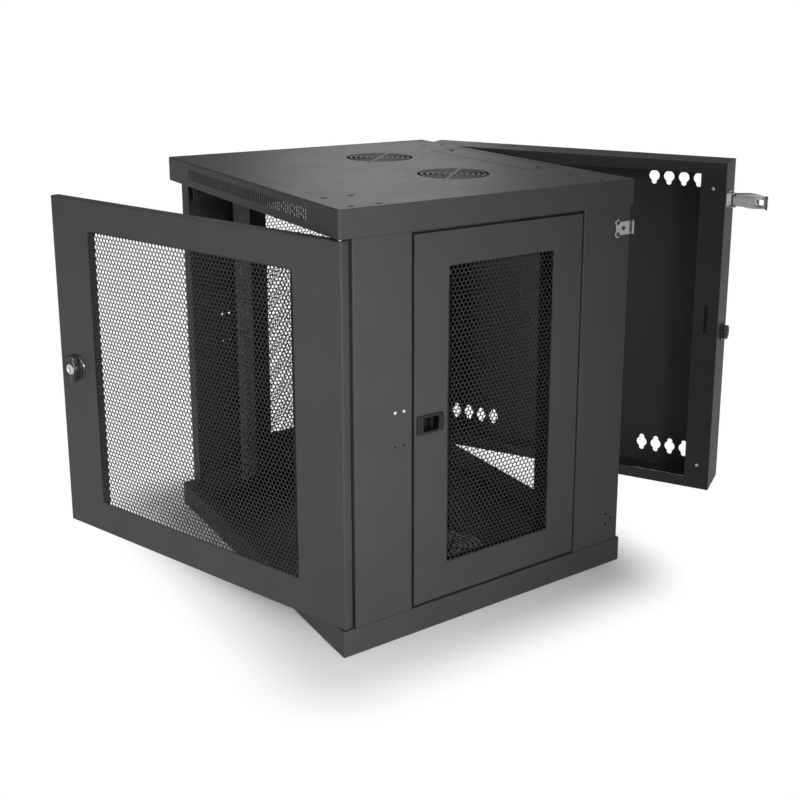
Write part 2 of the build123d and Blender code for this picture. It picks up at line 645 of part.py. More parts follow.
# Its slider, drawn back: a tongue that goes behind the post's ledge, and a finger tab in the pocket
SLIDER_FROM = LATCH_SPOT[0] - PANEL_LATCH_CUT[0] / 2 - 0.5
SLIDER_TO = LATCH_SPOT[0] + PANEL_LATCH_LENGTH / 4 - FIT
with BuildPart() as right_latch_slider:
    with BuildSketch(Plane.YZ.offset(SIDE - PANEL_LATCH_BODY + SHEET + FIT / 2)):
        with Locations(((SLIDER_FROM + SLIDER_TO) / 2, LATCH_SPOT[1])):
            Rectangle(SLIDER_TO - SLIDER_FROM, SLIDER_TONGUE_HEIGHT)
    extrude(amount=SLIDER_THICKNESS - FIT / 2)
    with BuildSketch(Plane.YZ.offset(SIDE - PANEL_LATCH_BODY + SHEET + SLIDER_THICKNESS)):
        with Locations((LATCH_SPOT[0] + POCKET_LENGTH / 2 - SLIDER_TAB / 2 - 1, LATCH_SPOT[1])):
            Rectangle(SLIDER_TAB, POCKET_HEIGHT - 2 * FIT)
    extrude(amount=SLIDER_TAB)

for name, right_piece in (
    ("side_panel", right_panel), ("panel_mesh", right_panel_mesh),
    ("panel_latch_housing", right_latch_housing), ("panel_latch_slider", right_latch_slider),
):
    save(right_piece, f"right_{name}")
    with BuildPart() as left_piece:
        mirror(right_piece.part, about=Plane.YZ)
    save(left_piece, f"left_{name}")

# Front door: a pan with a lip, a window for the mesh and holes for the hinge pins and the lock
with BuildPart() as front_door_frame:
    with BuildSketch(facing(DOOR, DOOR_MIDDLE, DOOR_FACE, (DOOR_BOTTOM + DOOR_TOP) / 2)):
        Rectangle(DOOR_WIDTH, DOOR_TOP - DOOR_BOTTOM)
    extrude(amount=-DOOR_THICKNESS)
    door_normal = Axis((0, 0, 0), tuple(DOOR.y_dir))
    fillet(front_door_frame.faces().sort_by(door_normal)[0].edges(), BEND)
    offset(amount=-SHEET, openings=front_door_frame.faces().sort_by(door_normal)[-1])
    with BuildSketch(facing(DOOR, DOOR_MIDDLE, DOOR_BACK, (DOOR_BOTTOM + DOOR_TOP) / 2)):
        Rectangle(DOOR_WIDTH, DOOR_TOP - DOOR_BOTTOM)
        Rectangle(DOOR_WIDTH - 2 * DOOR_LIP, DOOR_TOP - DOOR_BOTTOM - 2 * DOOR_LIP, mode=Mode.SUBTRACT)
    extrude(amount=SHEET)
    fillet(front_door_frame.faces().sort_by(door_normal)[-1].outer_wire().edges(), BEND / 2)
    with BuildSketch(facing(DOOR, DOOR_MIDDLE, DOOR_FACE, sum(DOOR_MESH_Z) / 2)):
        Rectangle(DOOR_MESH_WIDTH, DOOR_MESH_Z[1] - DOOR_MESH_Z[0])
    extrude(amount=-SHEET, mode=Mode.SUBTRACT)
    with BuildSketch(facing(DOOR, LOCK_LOCAL_X, DOOR_FACE, DOOR_LOCK_Z)):
        Circle(LOCK_BARREL_RADIUS)
    extrude(amount=-SHEET, mode=Mode.SUBTRACT)
    with BuildSketch(DOOR.offset(DOOR_BOTTOM)):
        Circle(HINGE_PIN_RADIUS)
    extrude(amount=DOOR_TOP - DOOR_BOTTOM, mode=Mode.SUBTRACT)
save(front_door_frame, "front_door_frame")

front_door_mesh = perforated_sheet(
    facing(DOOR, DOOR_MIDDLE, DOOR_FACE + SHEET, sum(DOOR_MESH_Z) / 2),
    DOOR_MESH_WIDTH, DOOR_MESH_Z[1] - DOOR_MESH_Z[0], SHEET)
save(front_door_mesh, "front_door_mesh")

# Two upright channels behind the door's sheet, along the sides of the mesh
with BuildPart() as door_stiffeners:
    with BuildSketch(DOOR.offset(DOOR_BOTTOM + DOOR_LIP + SHEET)):
        for side in (1, -1):
            near = DOOR_MIDDLE + side * (DOOR_MESH_WIDTH / 2 + 1)
            far = near + side * STIFFENER_WIDTH
            back = DOOR_FACE + SHEET + STIFFENER_DEPTH
            with BuildLine():
                Polyline((near, DOOR_FACE + SHEET), (near, back), (far, back), (far, DOOR_FACE + SHEET))
            trace(line_width=SHEET)
    extrude(amount=DOOR_TOP - DOOR_BOTTOM - 2 * DOOR_LIP - 2 * SHEET)
save(door_stiffeners, "door_stiffeners")

# Hinge pins of the door, each in a block welded into the pan's corner
with BuildPart() as door_hinge_pins:
    for low in (DOOR_BOTTOM + SHEET, DOOR_TOP - SHEET - HINGE_BLOCK):
        with BuildSketch(DOOR.offset(low)):
            with Locations((-HINGE_BLOCK / 2 + DOOR_HINGE_IN - SHEET, DOOR_FACE + DOOR_THICKNESS / 2)):
                Rectangle(HINGE_BLOCK, DOOR_THICKNESS - 2 * SHEET)
        extrude(amount=HINGE_BLOCK)
    chamfer(door_hinge_pins.edges(), BEND - SHEET)
    for pin_low in (DOOR_BOTTOM - DOOR_GAP - SHEET - HINGE_PIN_PROUD / 2, DOOR_TOP - SHEET - HINGE_BLOCK):
        with BuildSketch(DOOR.offset(pin_low)):
            Circle(HINGE_PIN_RADIUS)
        extrude(amount=HINGE_BLOCK + 2 * SHEET + DOOR_GAP + HINGE_PIN_PROUD / 2)
save(door_hinge_pins, "door_hinge_pins")


def lock_housing(view, radius, spindle_to):
    """A lock's fixed part: a round escutcheon outside the sheet and a bored barrel through it."""
    with BuildPart() as housing:
        with BuildSketch(view):
            Circle(radius)
        extrude(amount=LOCK_ESCUTCHEON_THICKNESS, taper=ROSE_TAPER)
        with BuildSketch(view):
            Circle(LOCK_BARREL_RADIUS)
        extrude(amount=-LOCK_BARREL_LENGTH)
        with BuildSketch(view.offset(-spindle_to)):
            Circle(LOCK_SPINDLE_RADIUS + PIN_CLEARANCE)
        extrude(amount=spindle_to + LOCK_ESCUTCHEON_THICKNESS, mode=Mode.SUBTRACT)
    return housing


def lock_nut(view):
    """The hexagon nut that clamps a lock's housing to its sheet from inside."""
    with BuildPart() as nut:
        with BuildSketch(view.offset(-SHEET - LOCK_NUT_THICKNESS)):
            RegularPolygon(LOCK_NUT_RADIUS, 6)
            Circle(LOCK_BARREL_RADIUS, mode=Mode.SUBTRACT)
        extrude(amount=LOCK_NUT_THICKNESS)
    return nut


def spindle_and_pocket(view, height, spindle_to):
    """A knob's spindle and the pocket for its key cylinder, in the builder at work."""
    with BuildSketch(view.offset(-spindle_to)) as spindle:
        Circle(LOCK_SPINDLE_RADIUS)
    extrude(spindle.sketch, amount=spindle_to + LOCK_ESCUTCHEON_THICKNESS + FIT)
    with BuildSketch(view.offset(height)) as pocket:
        Circle(CYLINDER_RADIUS + PIN_CLEARANCE)
    extrude(pocket.sketch, amount=-CYLINDER_DEPTH, mode=Mode.SUBTRACT)


def key_cylinder(view, height):
    """The round key cylinder that sits in a knob, with a keyway in its face."""
    with BuildPart() as cylinder:
        with BuildSketch(view.offset(height - CYLINDER_DEPTH + FIT)):
            Circle(CYLINDER_RADIUS)
        extrude(amount=CYLINDER_DEPTH - FIT + CYLINDER_PROUD)
        chamfer(cylinder.edges().group_by(Axis(view.origin, view.z_dir))[-1], CYLINDER_EDGE)
        with BuildSketch(view.offset(height + CYLINDER_PROUD)):
            Rectangle(KEYWAY[1], KEYWAY[0])
        extrude(amount=-KEYWAY[2], mode=Mode.SUBTRACT)
    return cylinder


def lock_cam(view, depth, length, direction):
    """The flat cam on a spindle's end, turned to its drawn-back position."""
    with BuildPart() as cam:
        with BuildSketch(view.offset(-depth)):
            Circle(CAM_WIDTH / 2)
            with Locations((0, direction * length / 2 - direction * CAM_WIDTH / 4)):
                Rectangle(CAM_WIDTH, length - CAM_WIDTH / 2)
            with Locations((0, direction * (length - CAM_WIDTH / 2))):
                Circle(CAM_WIDTH / 2)
        extrude(amount=-CAM_THICKNESS)
    return cam


def cam_screw(view, depth):
    """The screw that holds a cam on its spindle."""
    with BuildPart() as screw:
        with BuildSketch(view.offset(-depth - CAM_THICKNESS)):
            Circle(CAM_SCREW_RADIUS)
        extrude(amount=-CAM_SCREW_HEIGHT)
    return screw


# Door lock: a winged knob that turns a cam behind the door's edge
LOCK_VIEW = facing(DOOR, LOCK_LOCAL_X, DOOR_FACE, DOOR_LOCK_Z)
DOOR_CAM_DEPTH = POST_SETBACK + SHEET + 2
save(lock_housing(LOCK_VIEW, LOCK_ESCUTCHEON_RADIUS, DOOR_CAM_DEPTH), "door_lock_housing")
save(lock_nut(LOCK_VIEW), "door_lock_nut")
KNOB_BASE = LOCK_ESCUTCHEON_THICKNESS + FIT
with BuildPart() as door_lock_knob:
    with BuildSketch(LOCK_VIEW.offset(KNOB_BASE)):
        Circle(KNOB_HUB_RADIUS)
        SlotOverall(KNOB_LENGTH, KNOB_WIDTH, rotation=90)
    extrude(amount=KNOB_HEIGHT - KNOB_BASE, taper=KNOB_TAPER)
    knob_top = door_lock_knob.faces().sort_by(Axis(LOCK_VIEW.origin, LOCK_VIEW.z_dir))[-1]
    fillet(knob_top.edges(), KNOB_ROUNDING)
    spindle_and_pocket(LOCK_VIEW, KNOB_HEIGHT, DOOR_CAM_DEPTH)
save(door_lock_knob, "door_lock_knob")
save(key_cylinder(LOCK_VIEW, KNOB_HEIGHT), "door_key_cylinder")
save(lock_cam(LOCK_VIEW, DOOR_CAM_DEPTH, DOOR_CAM_LENGTH, -1), "door_lock_cam")
save(cam_screw(LOCK_VIEW, DOOR_CAM_DEPTH), "door_cam_screw")

# Rear section: a deep pan, open towards the cabinet, with return flanges and keyholes for the wall
REAR_MIDDLE_X = (REAR_LEFT + REAR_RIGHT) / 2
SECTION_HEIGHT = REAR_TOP - REAR_FOOT
rear_normal = Axis((0, 0, 0), tuple(REAR.y_dir))
SECTION_COVER_MIDDLE = (REAR_MIDDLE_X - SECTION_COVER_OFF_MIDDLE, REAR_WALL - SECTION_COVER_FROM_WALL)
SECTION_TOP_PLATE = REAR.offset(REAR_TOP)
SECTION_BOTTOM_PLATE = REAR.offset(REAR_FOOT)
with BuildPart() as wall_section:
    with BuildSketch(facing(REAR, REAR_MIDDLE_X, REAR_FACE, REAR_MIDDLE_Z)):
        Rectangle(REAR_WIDTH, SECTION_HEIGHT)
    extrude(amount=-REAR_DEPTH)
    fillet(wall_section.faces().sort_by(rear_normal)[-1].edges(), BEND)
    offset(amount=-SHEET, openings=wall_section.faces().sort_by(rear_normal)[0])
    with BuildSketch(facing(REAR, REAR_MIDDLE_X, REAR_FACE + SHEET, REAR_MIDDLE_Z)):
        Rectangle(REAR_WIDTH, SECTION_HEIGHT)
        Rectangle(
            REAR_WIDTH - 2 * REAR_SIDE_FLANGE, SECTION_HEIGHT - 2 * REAR_END_FLANGE, mode=Mode.SUBTRACT)
        with Locations((REAR_WIDTH / 2 - REAR_CAM_INSET, sum(REAR_CAM_SLOT[1:]) / 2 - REAR_MIDDLE_Z)):
            Rectangle(REAR_CAM_SLOT[0], REAR_CAM_SLOT[2] - REAR_CAM_SLOT[1], mode=Mode.SUBTRACT)
    extrude(amount=SHEET)
    fillet(wall_section.faces().sort_by(rear_normal)[0].outer_wire().edges(), BEND / 2)
    with BuildSketch(facing(REAR, REAR_LEFT, REAR_WALL, REAR_MIDDLE_Z)):
        for group_x in (KEYHOLES_FROM_HINGE, REAR_WIDTH - KEYHOLES_FROM_LOCK):
            for side in (1, -1):
                with Locations((group_x, side * (SECTION_HEIGHT / 2 - KEYHOLE_EDGE))):
                    with GridLocations(KEYHOLE_PITCH, 0, KEYHOLES_PER_GROUP, 1):
                        Circle(KEYHOLE_RADIUS)
                        with GridLocations(0, 2 * KEYHOLE_LOBE_OFFSET, 1, 2):
                            Circle(KEYHOLE_LOBE_RADIUS)
    extrude(amount=SHEET, mode=Mode.SUBTRACT)
    stepped_cut(SECTION_TOP_PLATE, SECTION_COVER_MIDDLE, SECTION_COVER_DEPTH, -1)
    stepped_cut(SECTION_BOTTOM_PLATE, SECTION_COVER_MIDDLE, SECTION_COVER_DEPTH, 1)
    with BuildSketch(sideways(REAR, REAR_RIGHT, REAR_FACE + REAR_LOCK_DEPTH, REAR_LOCK_Z)):
        Circle(LOCK_BARREL_RADIUS)
    extrude(amount=-SHEET, mode=Mode.SUBTRACT)
save(wall_section, "wall_section")
save(flush_cover(SECTION_TOP_PLATE, SECTION_COVER_MIDDLE, SECTION_COVER_DEPTH, -1), "section_top_cover")
save(flush_cover(SECTION_BOTTOM_PLATE, SECTION_COVER_MIDDLE, SECTION_COVER_DEPTH, 1), "section_bottom_cover")
with BuildPart() as section_cover_screws:
    cover_screws(SECTION_TOP_PLATE, SECTION_COVER_MIDDLE, -1)
    cover_screws(SECTION_BOTTOM_PLATE, SECTION_COVER_MIDDLE, 1)
save(section_cover_screws, "section_cover_screws")

# Lock of the rear section, on its right side; its cam reaches through the slots into the cabinet
REAR_LOCK_VIEW = sideways(REAR, REAR_RIGHT, REAR_FACE + REAR_LOCK_DEPTH, REAR_LOCK_Z)
REAR_CAM_DEPTH = REAR_CAM_INSET - CAM_THICKNESS / 2
save(lock_housing(REAR_LOCK_VIEW, REAR_LOCK_ESCUTCHEON_RADIUS, REAR_CAM_DEPTH), "rear_lock_housing")
save(lock_nut(REAR_LOCK_VIEW), "rear_lock_nut")
with BuildPart() as rear_lock_knob:
    with BuildSketch(REAR_LOCK_VIEW.offset(KNOB_BASE)):
        Circle(REAR_KNOB_RADIUS)
        with PolarLocations(REAR_KNOB_RADIUS + 1, REAR_KNOB_FLUTES):
            Circle(REAR_KNOB_FLUTE_RADIUS, mode=Mode.SUBTRACT)
    extrude(amount=REAR_KNOB_HEIGHT - KNOB_BASE, taper=REAR_KNOB_TAPER)
    spindle_and_pocket(REAR_LOCK_VIEW, REAR_KNOB_HEIGHT, REAR_CAM_DEPTH)
save(rear_lock_knob, "rear_lock_knob")
save(key_cylinder(REAR_LOCK_VIEW, REAR_KNOB_HEIGHT), "rear_key_cylinder")
save(lock_cam(REAR_LOCK_VIEW, REAR_CAM_DEPTH, REAR_CAM_LENGTH, 1), "rear_lock_cam")
save(cam_screw(REAR_LOCK_VIEW, REAR_CAM_DEPTH), "rear_cam_screw")

# Butt hinges of the rear section: leaves on the cabinet, leaves on the section, and their pins
KNUCKLE_HEIGHT = REAR_HINGE_HEIGHT / 3
BODY_HINGE = swung(REAR_AXIS, 0)


def knuckles(plane, levels, bore):
    """Hinge knuckles round the axis at the given heights, in the builder at work."""
    for level in levels:
        with BuildSketch(plane.offset(level)) as knuckle:
            Circle(KNUCKLE_RADIUS)
            Circle(bore, mode=Mode.SUBTRACT)
        extrude(knuckle.sketch, amount=KNUCKLE_HEIGHT - KNUCKLE_GAP)


def leaf(plane, x, y, middle_z, gap_levels):
    """A hinge leaf beside the axis, notched where the other leaf's knuckles turn, in the builder at work."""
    with BuildSketch(plane.offset(middle_z - REAR_HINGE_HEIGHT / 2)) as plate:
        with Locations(((x[0] + x[1]) / 2, (y[0] + y[1]) / 2)):
            Rectangle(abs(x[1] - x[0]), abs(y[1] - y[0]))
    extrude(plate.sketch, amount=REAR_HINGE_HEIGHT - KNUCKLE_GAP)
    for level in gap_levels:
        with BuildSketch(plane.offset(level - KNUCKLE_GAP)) as notch:
            Circle(KNUCKLE_RADIUS + 2 * FIT)
        extrude(notch.sketch, amount=KNUCKLE_HEIGHT + KNUCKLE_GAP, mode=Mode.SUBTRACT)


BODY_LEAF_X = (-SIDE - REAR_AXIS[0] - REAR_HINGE_LEAF, -SIDE - REAR_AXIS[0])
SECTION_LEAF_X = (REAR_LEFT - REAR_HINGE_LEAF, REAR_LEFT)
with BuildPart() as cabinet_hinge_leaves:
    for middle_z in REAR_HINGE_Z:
        base = middle_z - REAR_HINGE_HEIGHT / 2
        leaf(BODY_HINGE, BODY_LEAF_X, (-REAR_HINGE_REACH - REAR_GAP, 0), middle_z, [base + KNUCKLE_HEIGHT])
        knuckles(BODY_HINGE, (base, base + 2 * KNUCKLE_HEIGHT), REAR_HINGE_PIN_RADIUS)
    with BuildSketch(BODY_HINGE):
        Circle(REAR_HINGE_PIN_RADIUS)
    extrude(amount=HEIGHT, mode=Mode.SUBTRACT)
save(cabinet_hinge_leaves, "cabinet_hinge_leaves")

with BuildPart() as section_hinge_leaves:
    for middle_z in REAR_HINGE_Z:
        base = middle_z - REAR_HINGE_HEIGHT / 2
        notches = [base, base + 2 * KNUCKLE_HEIGHT]
        leaf(REAR, SECTION_LEAF_X, (0, REAR_HINGE_REACH + REAR_GAP), middle_z, notches)
        knuckles(REAR, (base + KNUCKLE_HEIGHT,), REAR_HINGE_PIN_RADIUS + PIN_CLEARANCE)
    with BuildSketch(REAR):
        Circle(REAR_HINGE_PIN_RADIUS + PIN_CLEARANCE)
    extrude(amount=HEIGHT, mode=Mode.SUBTRACT)
save(section_hinge_leaves, "section_hinge_leaves")

with BuildPart() as rear_hinge_pins:
    for middle_z in REAR_HINGE_Z:
        with BuildSketch(BODY_HINGE.offset(middle_z - REAR_HINGE_HEIGHT / 2 - HINGE_PIN_OVER)):
            Circle(REAR_HINGE_PIN_RADIUS)
        extrude(amount=REAR_HINGE_HEIGHT + 2 * HINGE_PIN_OVER)
        with BuildSketch(BODY_HINGE.offset(middle_z + REAR_HINGE_HEIGHT / 2 - KNUCKLE_GAP)):
            Circle(HINGE_PIN_CAP_RADIUS)
        extrude(amount=HINGE_PIN_CAP_HEIGHT)
save(rear_hinge_pins, "rear_hinge_pins")

# Draw latch on the right side of the rear section, with its lever standing out
LATCH_SIDE = REAR_RIGHT
LATCH_LOW = LATCH_CATCH_Z - LATCH_HEIGHT / 2
PIVOT = (LATCH_SIDE + LATCH_PIVOT_OUT, REAR_FACE + LATCH_PIVOT_DEPTH)
HOOK_PIVOT = (PIVOT[0] + LATCH_HOOK_AHEAD, PIVOT[1] + LATCH_HOOK_UNDER)
LATCH_EAR = LATCH_PIN_RADIUS + 2.5
with BuildPart() as latch_base:
    with BuildSketch(REAR.offset(LATCH_LOW)):
        with Locations((LATCH_SIDE + SHEET / 2, REAR_FACE + LATCH_BASE_FROM + LATCH_BASE_LENGTH / 2)):
            Rectangle(SHEET, LATCH_BASE_LENGTH)
    extrude(amount=LATCH_HEIGHT)
    for level in (LATCH_LOW, LATCH_LOW + LATCH_HEIGHT - SHEET):
        with BuildSketch(REAR.offset(level)):
            with Locations(PIVOT):
                Circle(LATCH_EAR)
            with Locations((LATCH_SIDE + LATCH_PIVOT_OUT / 2, PIVOT[1])):
                Rectangle(LATCH_PIVOT_OUT, 2 * LATCH_EAR)
            with Locations(PIVOT):
                Circle(LATCH_PIN_RADIUS, mode=Mode.SUBTRACT)
        extrude(amount=SHEET)
save(latch_base, "draw_latch_base")

with BuildPart() as latch_rivets:
    rivets_y = REAR_FACE + LATCH_BASE_FROM + LATCH_RIVETS_FROM
    with BuildSketch(sideways(REAR, LATCH_SIDE + SHEET, rivets_y, LATCH_CATCH_Z)):
        with GridLocations(*LATCH_RIVET_SPACING, 2, 2):
            Circle(LATCH_RIVET_RADIUS)
    extrude(amount=HEAD_HEIGHT, taper=HEAD_TAPER)
save(latch_rivets, "draw_latch_rivets")

LEVER_LOW = LATCH_LOW + SHEET + FIT
LEVER_HEIGHT = LATCH_HEIGHT - 2 * SHEET - 2 * FIT
LEVER_END = PIVOT[0] + LATCH_LEVER_LENGTH
LEVER_FACE = PIVOT[1] - LATCH_PIN_RADIUS - SHEET - FIT
with BuildPart() as latch_lever:
    with BuildSketch(REAR.offset(LEVER_LOW)):
        with Locations(((PIVOT[0] + LEVER_END) / 2, LEVER_FACE + SHEET / 2)):
            Rectangle(LATCH_LEVER_LENGTH, SHEET)
        with Locations((LEVER_END - SHEET / 2, LEVER_FACE - (LATCH_LEVER_LIP - SHEET) / 2)):
            Rectangle(SHEET, LATCH_LEVER_LIP)
    extrude(amount=LEVER_HEIGHT)
    for level in (LEVER_LOW, LEVER_LOW + LEVER_HEIGHT - SHEET):
        with BuildSketch(REAR.offset(level)):
            with BuildLine():
                Polyline(
                    (PIVOT[0], LEVER_FACE), (LEVER_END - LATCH_LEVER_NOSE[0], LEVER_FACE),
                    (LEVER_END - LATCH_LEVER_NOSE[1], LEVER_FACE + LATCH_LEVER_NOSE[2]),
                    (HOOK_PIVOT[0] + LATCH_EAR + SHEET, LEVER_FACE + LATCH_LEVER_SIDE),
                    (HOOK_PIVOT[0] - LATCH_EAR + FIT, LEVER_FACE + LATCH_LEVER_SIDE),
                    (PIVOT[0], LEVER_FACE + 2 * LATCH_EAR - 2), close=True,
                )
            make_face()
            with Locations(PIVOT):
                Circle(LATCH_PIN_RADIUS + SHEET)
                Circle(LATCH_PIN_RADIUS + PIN_CLEARANCE, mode=Mode.SUBTRACT)
            with Locations(HOOK_PIVOT):
                Circle(LATCH_PIN_RADIUS, mode=Mode.SUBTRACT)
        extrude(amount=SHEET)
    with BuildSketch(facing(REAR, LEVER_END - LATCH_WINDOW_FROM_END, LEVER_FACE, LATCH_CATCH_Z)):
        RectangleRounded(LATCH_WINDOW, LATCH_WINDOW, LATCH_WINDOW_CORNER)
    extrude(amount=-SHEET, mode=Mode.SUBTRACT)
save(latch_lever, "draw_latch_lever")

with BuildPart() as latch_lever_pin:
    with BuildSketch(REAR.offset(LATCH_LOW)):
        with Locations(PIVOT):
            Circle(LATCH_PIN_RADIUS)
    extrude(amount=LATCH_HEIGHT)
save(latch_lever_pin, "draw_latch_lever_pin")

with BuildPart() as latch_hook_pin:
    with BuildSketch(REAR.offset(LEVER_LOW)):
        with Locations(HOOK_PIVOT):
            Circle(LATCH_PIN_RADIUS)
    extrude(amount=LEVER_HEIGHT)
save(latch_hook_pin, "draw_latch_hook_pin")

# The hook lies folded under the lever; its claw pulls on the lip of the catch plate
HOOK_END = HOOK_PIVOT[0] + LATCH_HOOK_LENGTH
with BuildPart() as latch_hook:
    with BuildSketch(REAR.offset(LATCH_CATCH_Z - LATCH_HOOK_WIDTH / 2)):
        with Locations(HOOK_PIVOT):
            Circle(LATCH_PIN_RADIUS + SHEET)
        with Locations(((HOOK_PIVOT[0] + HOOK_END) / 2, HOOK_PIVOT[1])):
            Rectangle(LATCH_HOOK_LENGTH, SHEET)
        with Locations((HOOK_END - SHEET / 2, HOOK_PIVOT[1] - LATCH_CLAW / 2)):
            Rectangle(SHEET, LATCH_CLAW)
        with Locations(HOOK_PIVOT):
            Circle(LATCH_PIN_RADIUS + PIN_CLEARANCE, mode=Mode.SUBTRACT)
    extrude(amount=LATCH_HOOK_WIDTH)
save(latch_hook, "draw_latch_hook")

# Catch plate on the cabinet's right rear post, with a lip curled outwards for the hook
CATCH_Y = (FRONT + CATCH_FROM, FRONT + CATCH_FROM + CATCH_LENGTH)
with BuildPart() as catch_plate:
    with BuildSketch(Plane.XY.offset(LATCH_CATCH_Z - CATCH_HEIGHT / 2)):
        with BuildLine():
            FilletPolyline(
                (SIDE + MID, CATCH_Y[0]), (SIDE + MID, CATCH_Y[1]),
                (SIDE + MID + CATCH_LIP, CATCH_Y[1]), (SIDE + MID + CATCH_LIP, CATCH_Y[1] - CATCH_LIP),
                radius=CATCH_BEND)
        trace(line_width=SHEET)
    extrude(amount=CATCH_HEIGHT)
    with BuildSketch(Plane.YZ.offset(SIDE)):
        with Locations((0, LATCH_CATCH_Z)):
            with Locations(*CATCH_SPOTS):
                Circle(CATCH_SCREW_RADIUS)
    extrude(amount=SHEET, mode=Mode.SUBTRACT)
save(catch_plate, "catch_plate")

with BuildPart() as catch_screws:
    with BuildSketch(Plane.YZ.offset(SIDE + SHEET)):
        with Locations((0, LATCH_CATCH_Z)):
            with Locations(*CATCH_SPOTS):
                Circle(CATCH_SCREW_RADIUS + CATCH_SCREW_HEAD)
    extrude(amount=HEAD_HEIGHT, taper=HEAD_TAPER)
    with BuildSketch(Plane.YZ.offset(SIDE + SHEET)):
        with Locations((0, LATCH_CATCH_Z)):
            with Locations(*CATCH_SPOTS):
                Circle(CATCH_SCREW_RADIUS)
    extrude(amount=-4 * SHEET)
save(catch_screws, "catch_plate_screws")

# Screws that show on the rear section's side flanges
with BuildPart() as flange_screws:
    with BuildSketch(facing(REAR, REAR_MIDDLE_X, REAR_FACE, REAR_MIDDLE_Z)):
        with GridLocations(REAR_WIDTH - 2 * REAR_CAM_INSET, SECTION_HEIGHT - 2 * FLANGE_SCREW_FROM_END, 2, 2):
            Circle(FLANGE_SCREW_RADIUS)
    extrude(amount=FLANGE_SCREW_HEIGHT)
save(flange_screws, "section_flange_screws")
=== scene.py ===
import json
import math

import bmesh
import bpy
from mathutils import Matrix, Vector


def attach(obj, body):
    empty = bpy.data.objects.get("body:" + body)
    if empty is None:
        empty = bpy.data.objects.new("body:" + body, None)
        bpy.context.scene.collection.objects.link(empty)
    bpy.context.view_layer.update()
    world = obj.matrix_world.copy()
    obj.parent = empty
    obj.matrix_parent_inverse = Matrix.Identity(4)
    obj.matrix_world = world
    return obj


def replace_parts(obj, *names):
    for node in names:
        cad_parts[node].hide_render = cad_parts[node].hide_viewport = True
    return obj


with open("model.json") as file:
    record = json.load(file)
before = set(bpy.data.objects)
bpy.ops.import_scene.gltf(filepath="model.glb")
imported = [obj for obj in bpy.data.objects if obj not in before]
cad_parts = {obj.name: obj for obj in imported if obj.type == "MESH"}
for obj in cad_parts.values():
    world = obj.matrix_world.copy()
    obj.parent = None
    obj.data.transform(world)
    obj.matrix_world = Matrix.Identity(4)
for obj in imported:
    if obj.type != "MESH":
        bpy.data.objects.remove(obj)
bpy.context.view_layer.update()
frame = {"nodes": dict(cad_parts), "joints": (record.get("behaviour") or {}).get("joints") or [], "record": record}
MM = 0.001
JOINTS = {joint["name"]: joint for joint in frame["joints"]}
MOUNTS = {mount["name"]: mount for mount in frame["record"]["mounts"]}
SLOT_OF = {part["node"]: part["material_slot"] for part in frame["record"]["subparts"]}


# Places, each a frame in millimetres
def rounded_off(point):
    """A point to the nearest hundredth of a millimetre, as the CAD model's sizes are given."""
    return Vector([round(value, 2) for value in point])


def swung(hinge):
    """The frame of an open door or section: from its hinge's axis, along its own directions."""
    joint = JOINTS[hinge]
    x, y, _ = rounded_off(Vector(joint["pos_m"]) / MM)
    turn = Matrix.Rotation(math.radians(-joint["range_deg"][0]), 4, "Z")
    return Matrix.Translation(Vector((x, y, 0)) * MM) @ turn @ Matrix.Scale(MM, 4)


BODY = Matrix.Scale(MM, 4)
DOOR = swung("front_door_hinge")
REAR = swung("rear_section_hinge")
MIRROR = Matrix.Scale(-1, 4, (1, 0, 0))
QUARTER = math.radians(90)
TURNS = {
    "up": Matrix.Identity(4),
    "down": Matrix.Rotation(2 * QUARTER, 4, "X"),
    "front": Matrix.Rotation(QUARTER, 4, "X"),
    "right": Matrix.Rotation(QUARTER, 4, "Z") @ Matrix.Rotation(QUARTER, 4, "X"),
}


def view_of(place, spot, toward):
    """The frame of a face at a spot: x to the right and y up on it, z out of it."""
    return place @ Matrix.Translation(spot) @ TURNS[toward]


def corners(node, place):
    """The lowest and highest corners of a CAD node, along a place's own directions."""
    inverse = place.inverted()
    points = [inverse @ vertex.co for vertex in frame["nodes"][node].data.vertices]
    return [rounded_off([pick(point[axis] for point in points) for axis in range(3)]) for pick in (min, max)]


def face_of(node, place, toward):
    """The frame of the middle of a CAD node's face, and the face's width and height."""
    low, high = corners(node, place)
    middle, size = (low + high) / 2, high - low
    if toward == "front":
        return view_of(place, (middle.x, low.y, middle.z), toward), size.x, size.z
    if toward == "right":
        return view_of(place, (high.x, middle.y, middle.z), toward), size.y, size.z
    height = high.z if toward == "up" else low.z
    return view_of(place, (middle.x, middle.y, height), toward), size.x, size.y


def joint_of(name, place):
    """A joint's place, in a frame's millimetres."""
    return rounded_off(place.inverted() @ Vector(JOINTS[name]["pos_m"]))


def spots_on(face, points, height=0.0):
    """Frames at points of a face, raised from it by a height."""
    return [face @ Matrix.Translation((x, y, height)) for x, y in points]


def pair(half):
    return (half, 0), (-half, 0)


def four(half_width, half_height):
    return [(x, y) for x in (-half_width, half_width) for y in (-half_height, half_height)]


# Shader maths
class Val:
    """A socket's value in a tree; the operators add Math nodes."""

    def __init__(self, tree, out):
        self.tree, self.out = tree, out

    def math(self, operation, *others):
        return self.tree.node("Math", {"operation": operation}, dict(enumerate((self, *others))))

    def __add__(self, other):
        return self.math("ADD", other)

    def __sub__(self, other):
        return self.math("SUBTRACT", other)

    def __rsub__(self, other):
        return self.tree.node("Math", {"operation": "SUBTRACT"}, {0: other, 1: self})

    def __mul__(self, other):
        return self.math("MULTIPLY", other)

    __radd__, __rmul__ = __add__, __mul__

    def ramp(self, low, high, to_low=0.0, to_high=1.0):
        """Goes smoothly from to_low to to_high as this value goes from low to high."""
        return self.tree.node("MapRange", {"interpolation_type": "SMOOTHSTEP"}, {
            "Value": self, "From Min": low, "From Max": high, "To Min": to_low, "To Max": to_high})


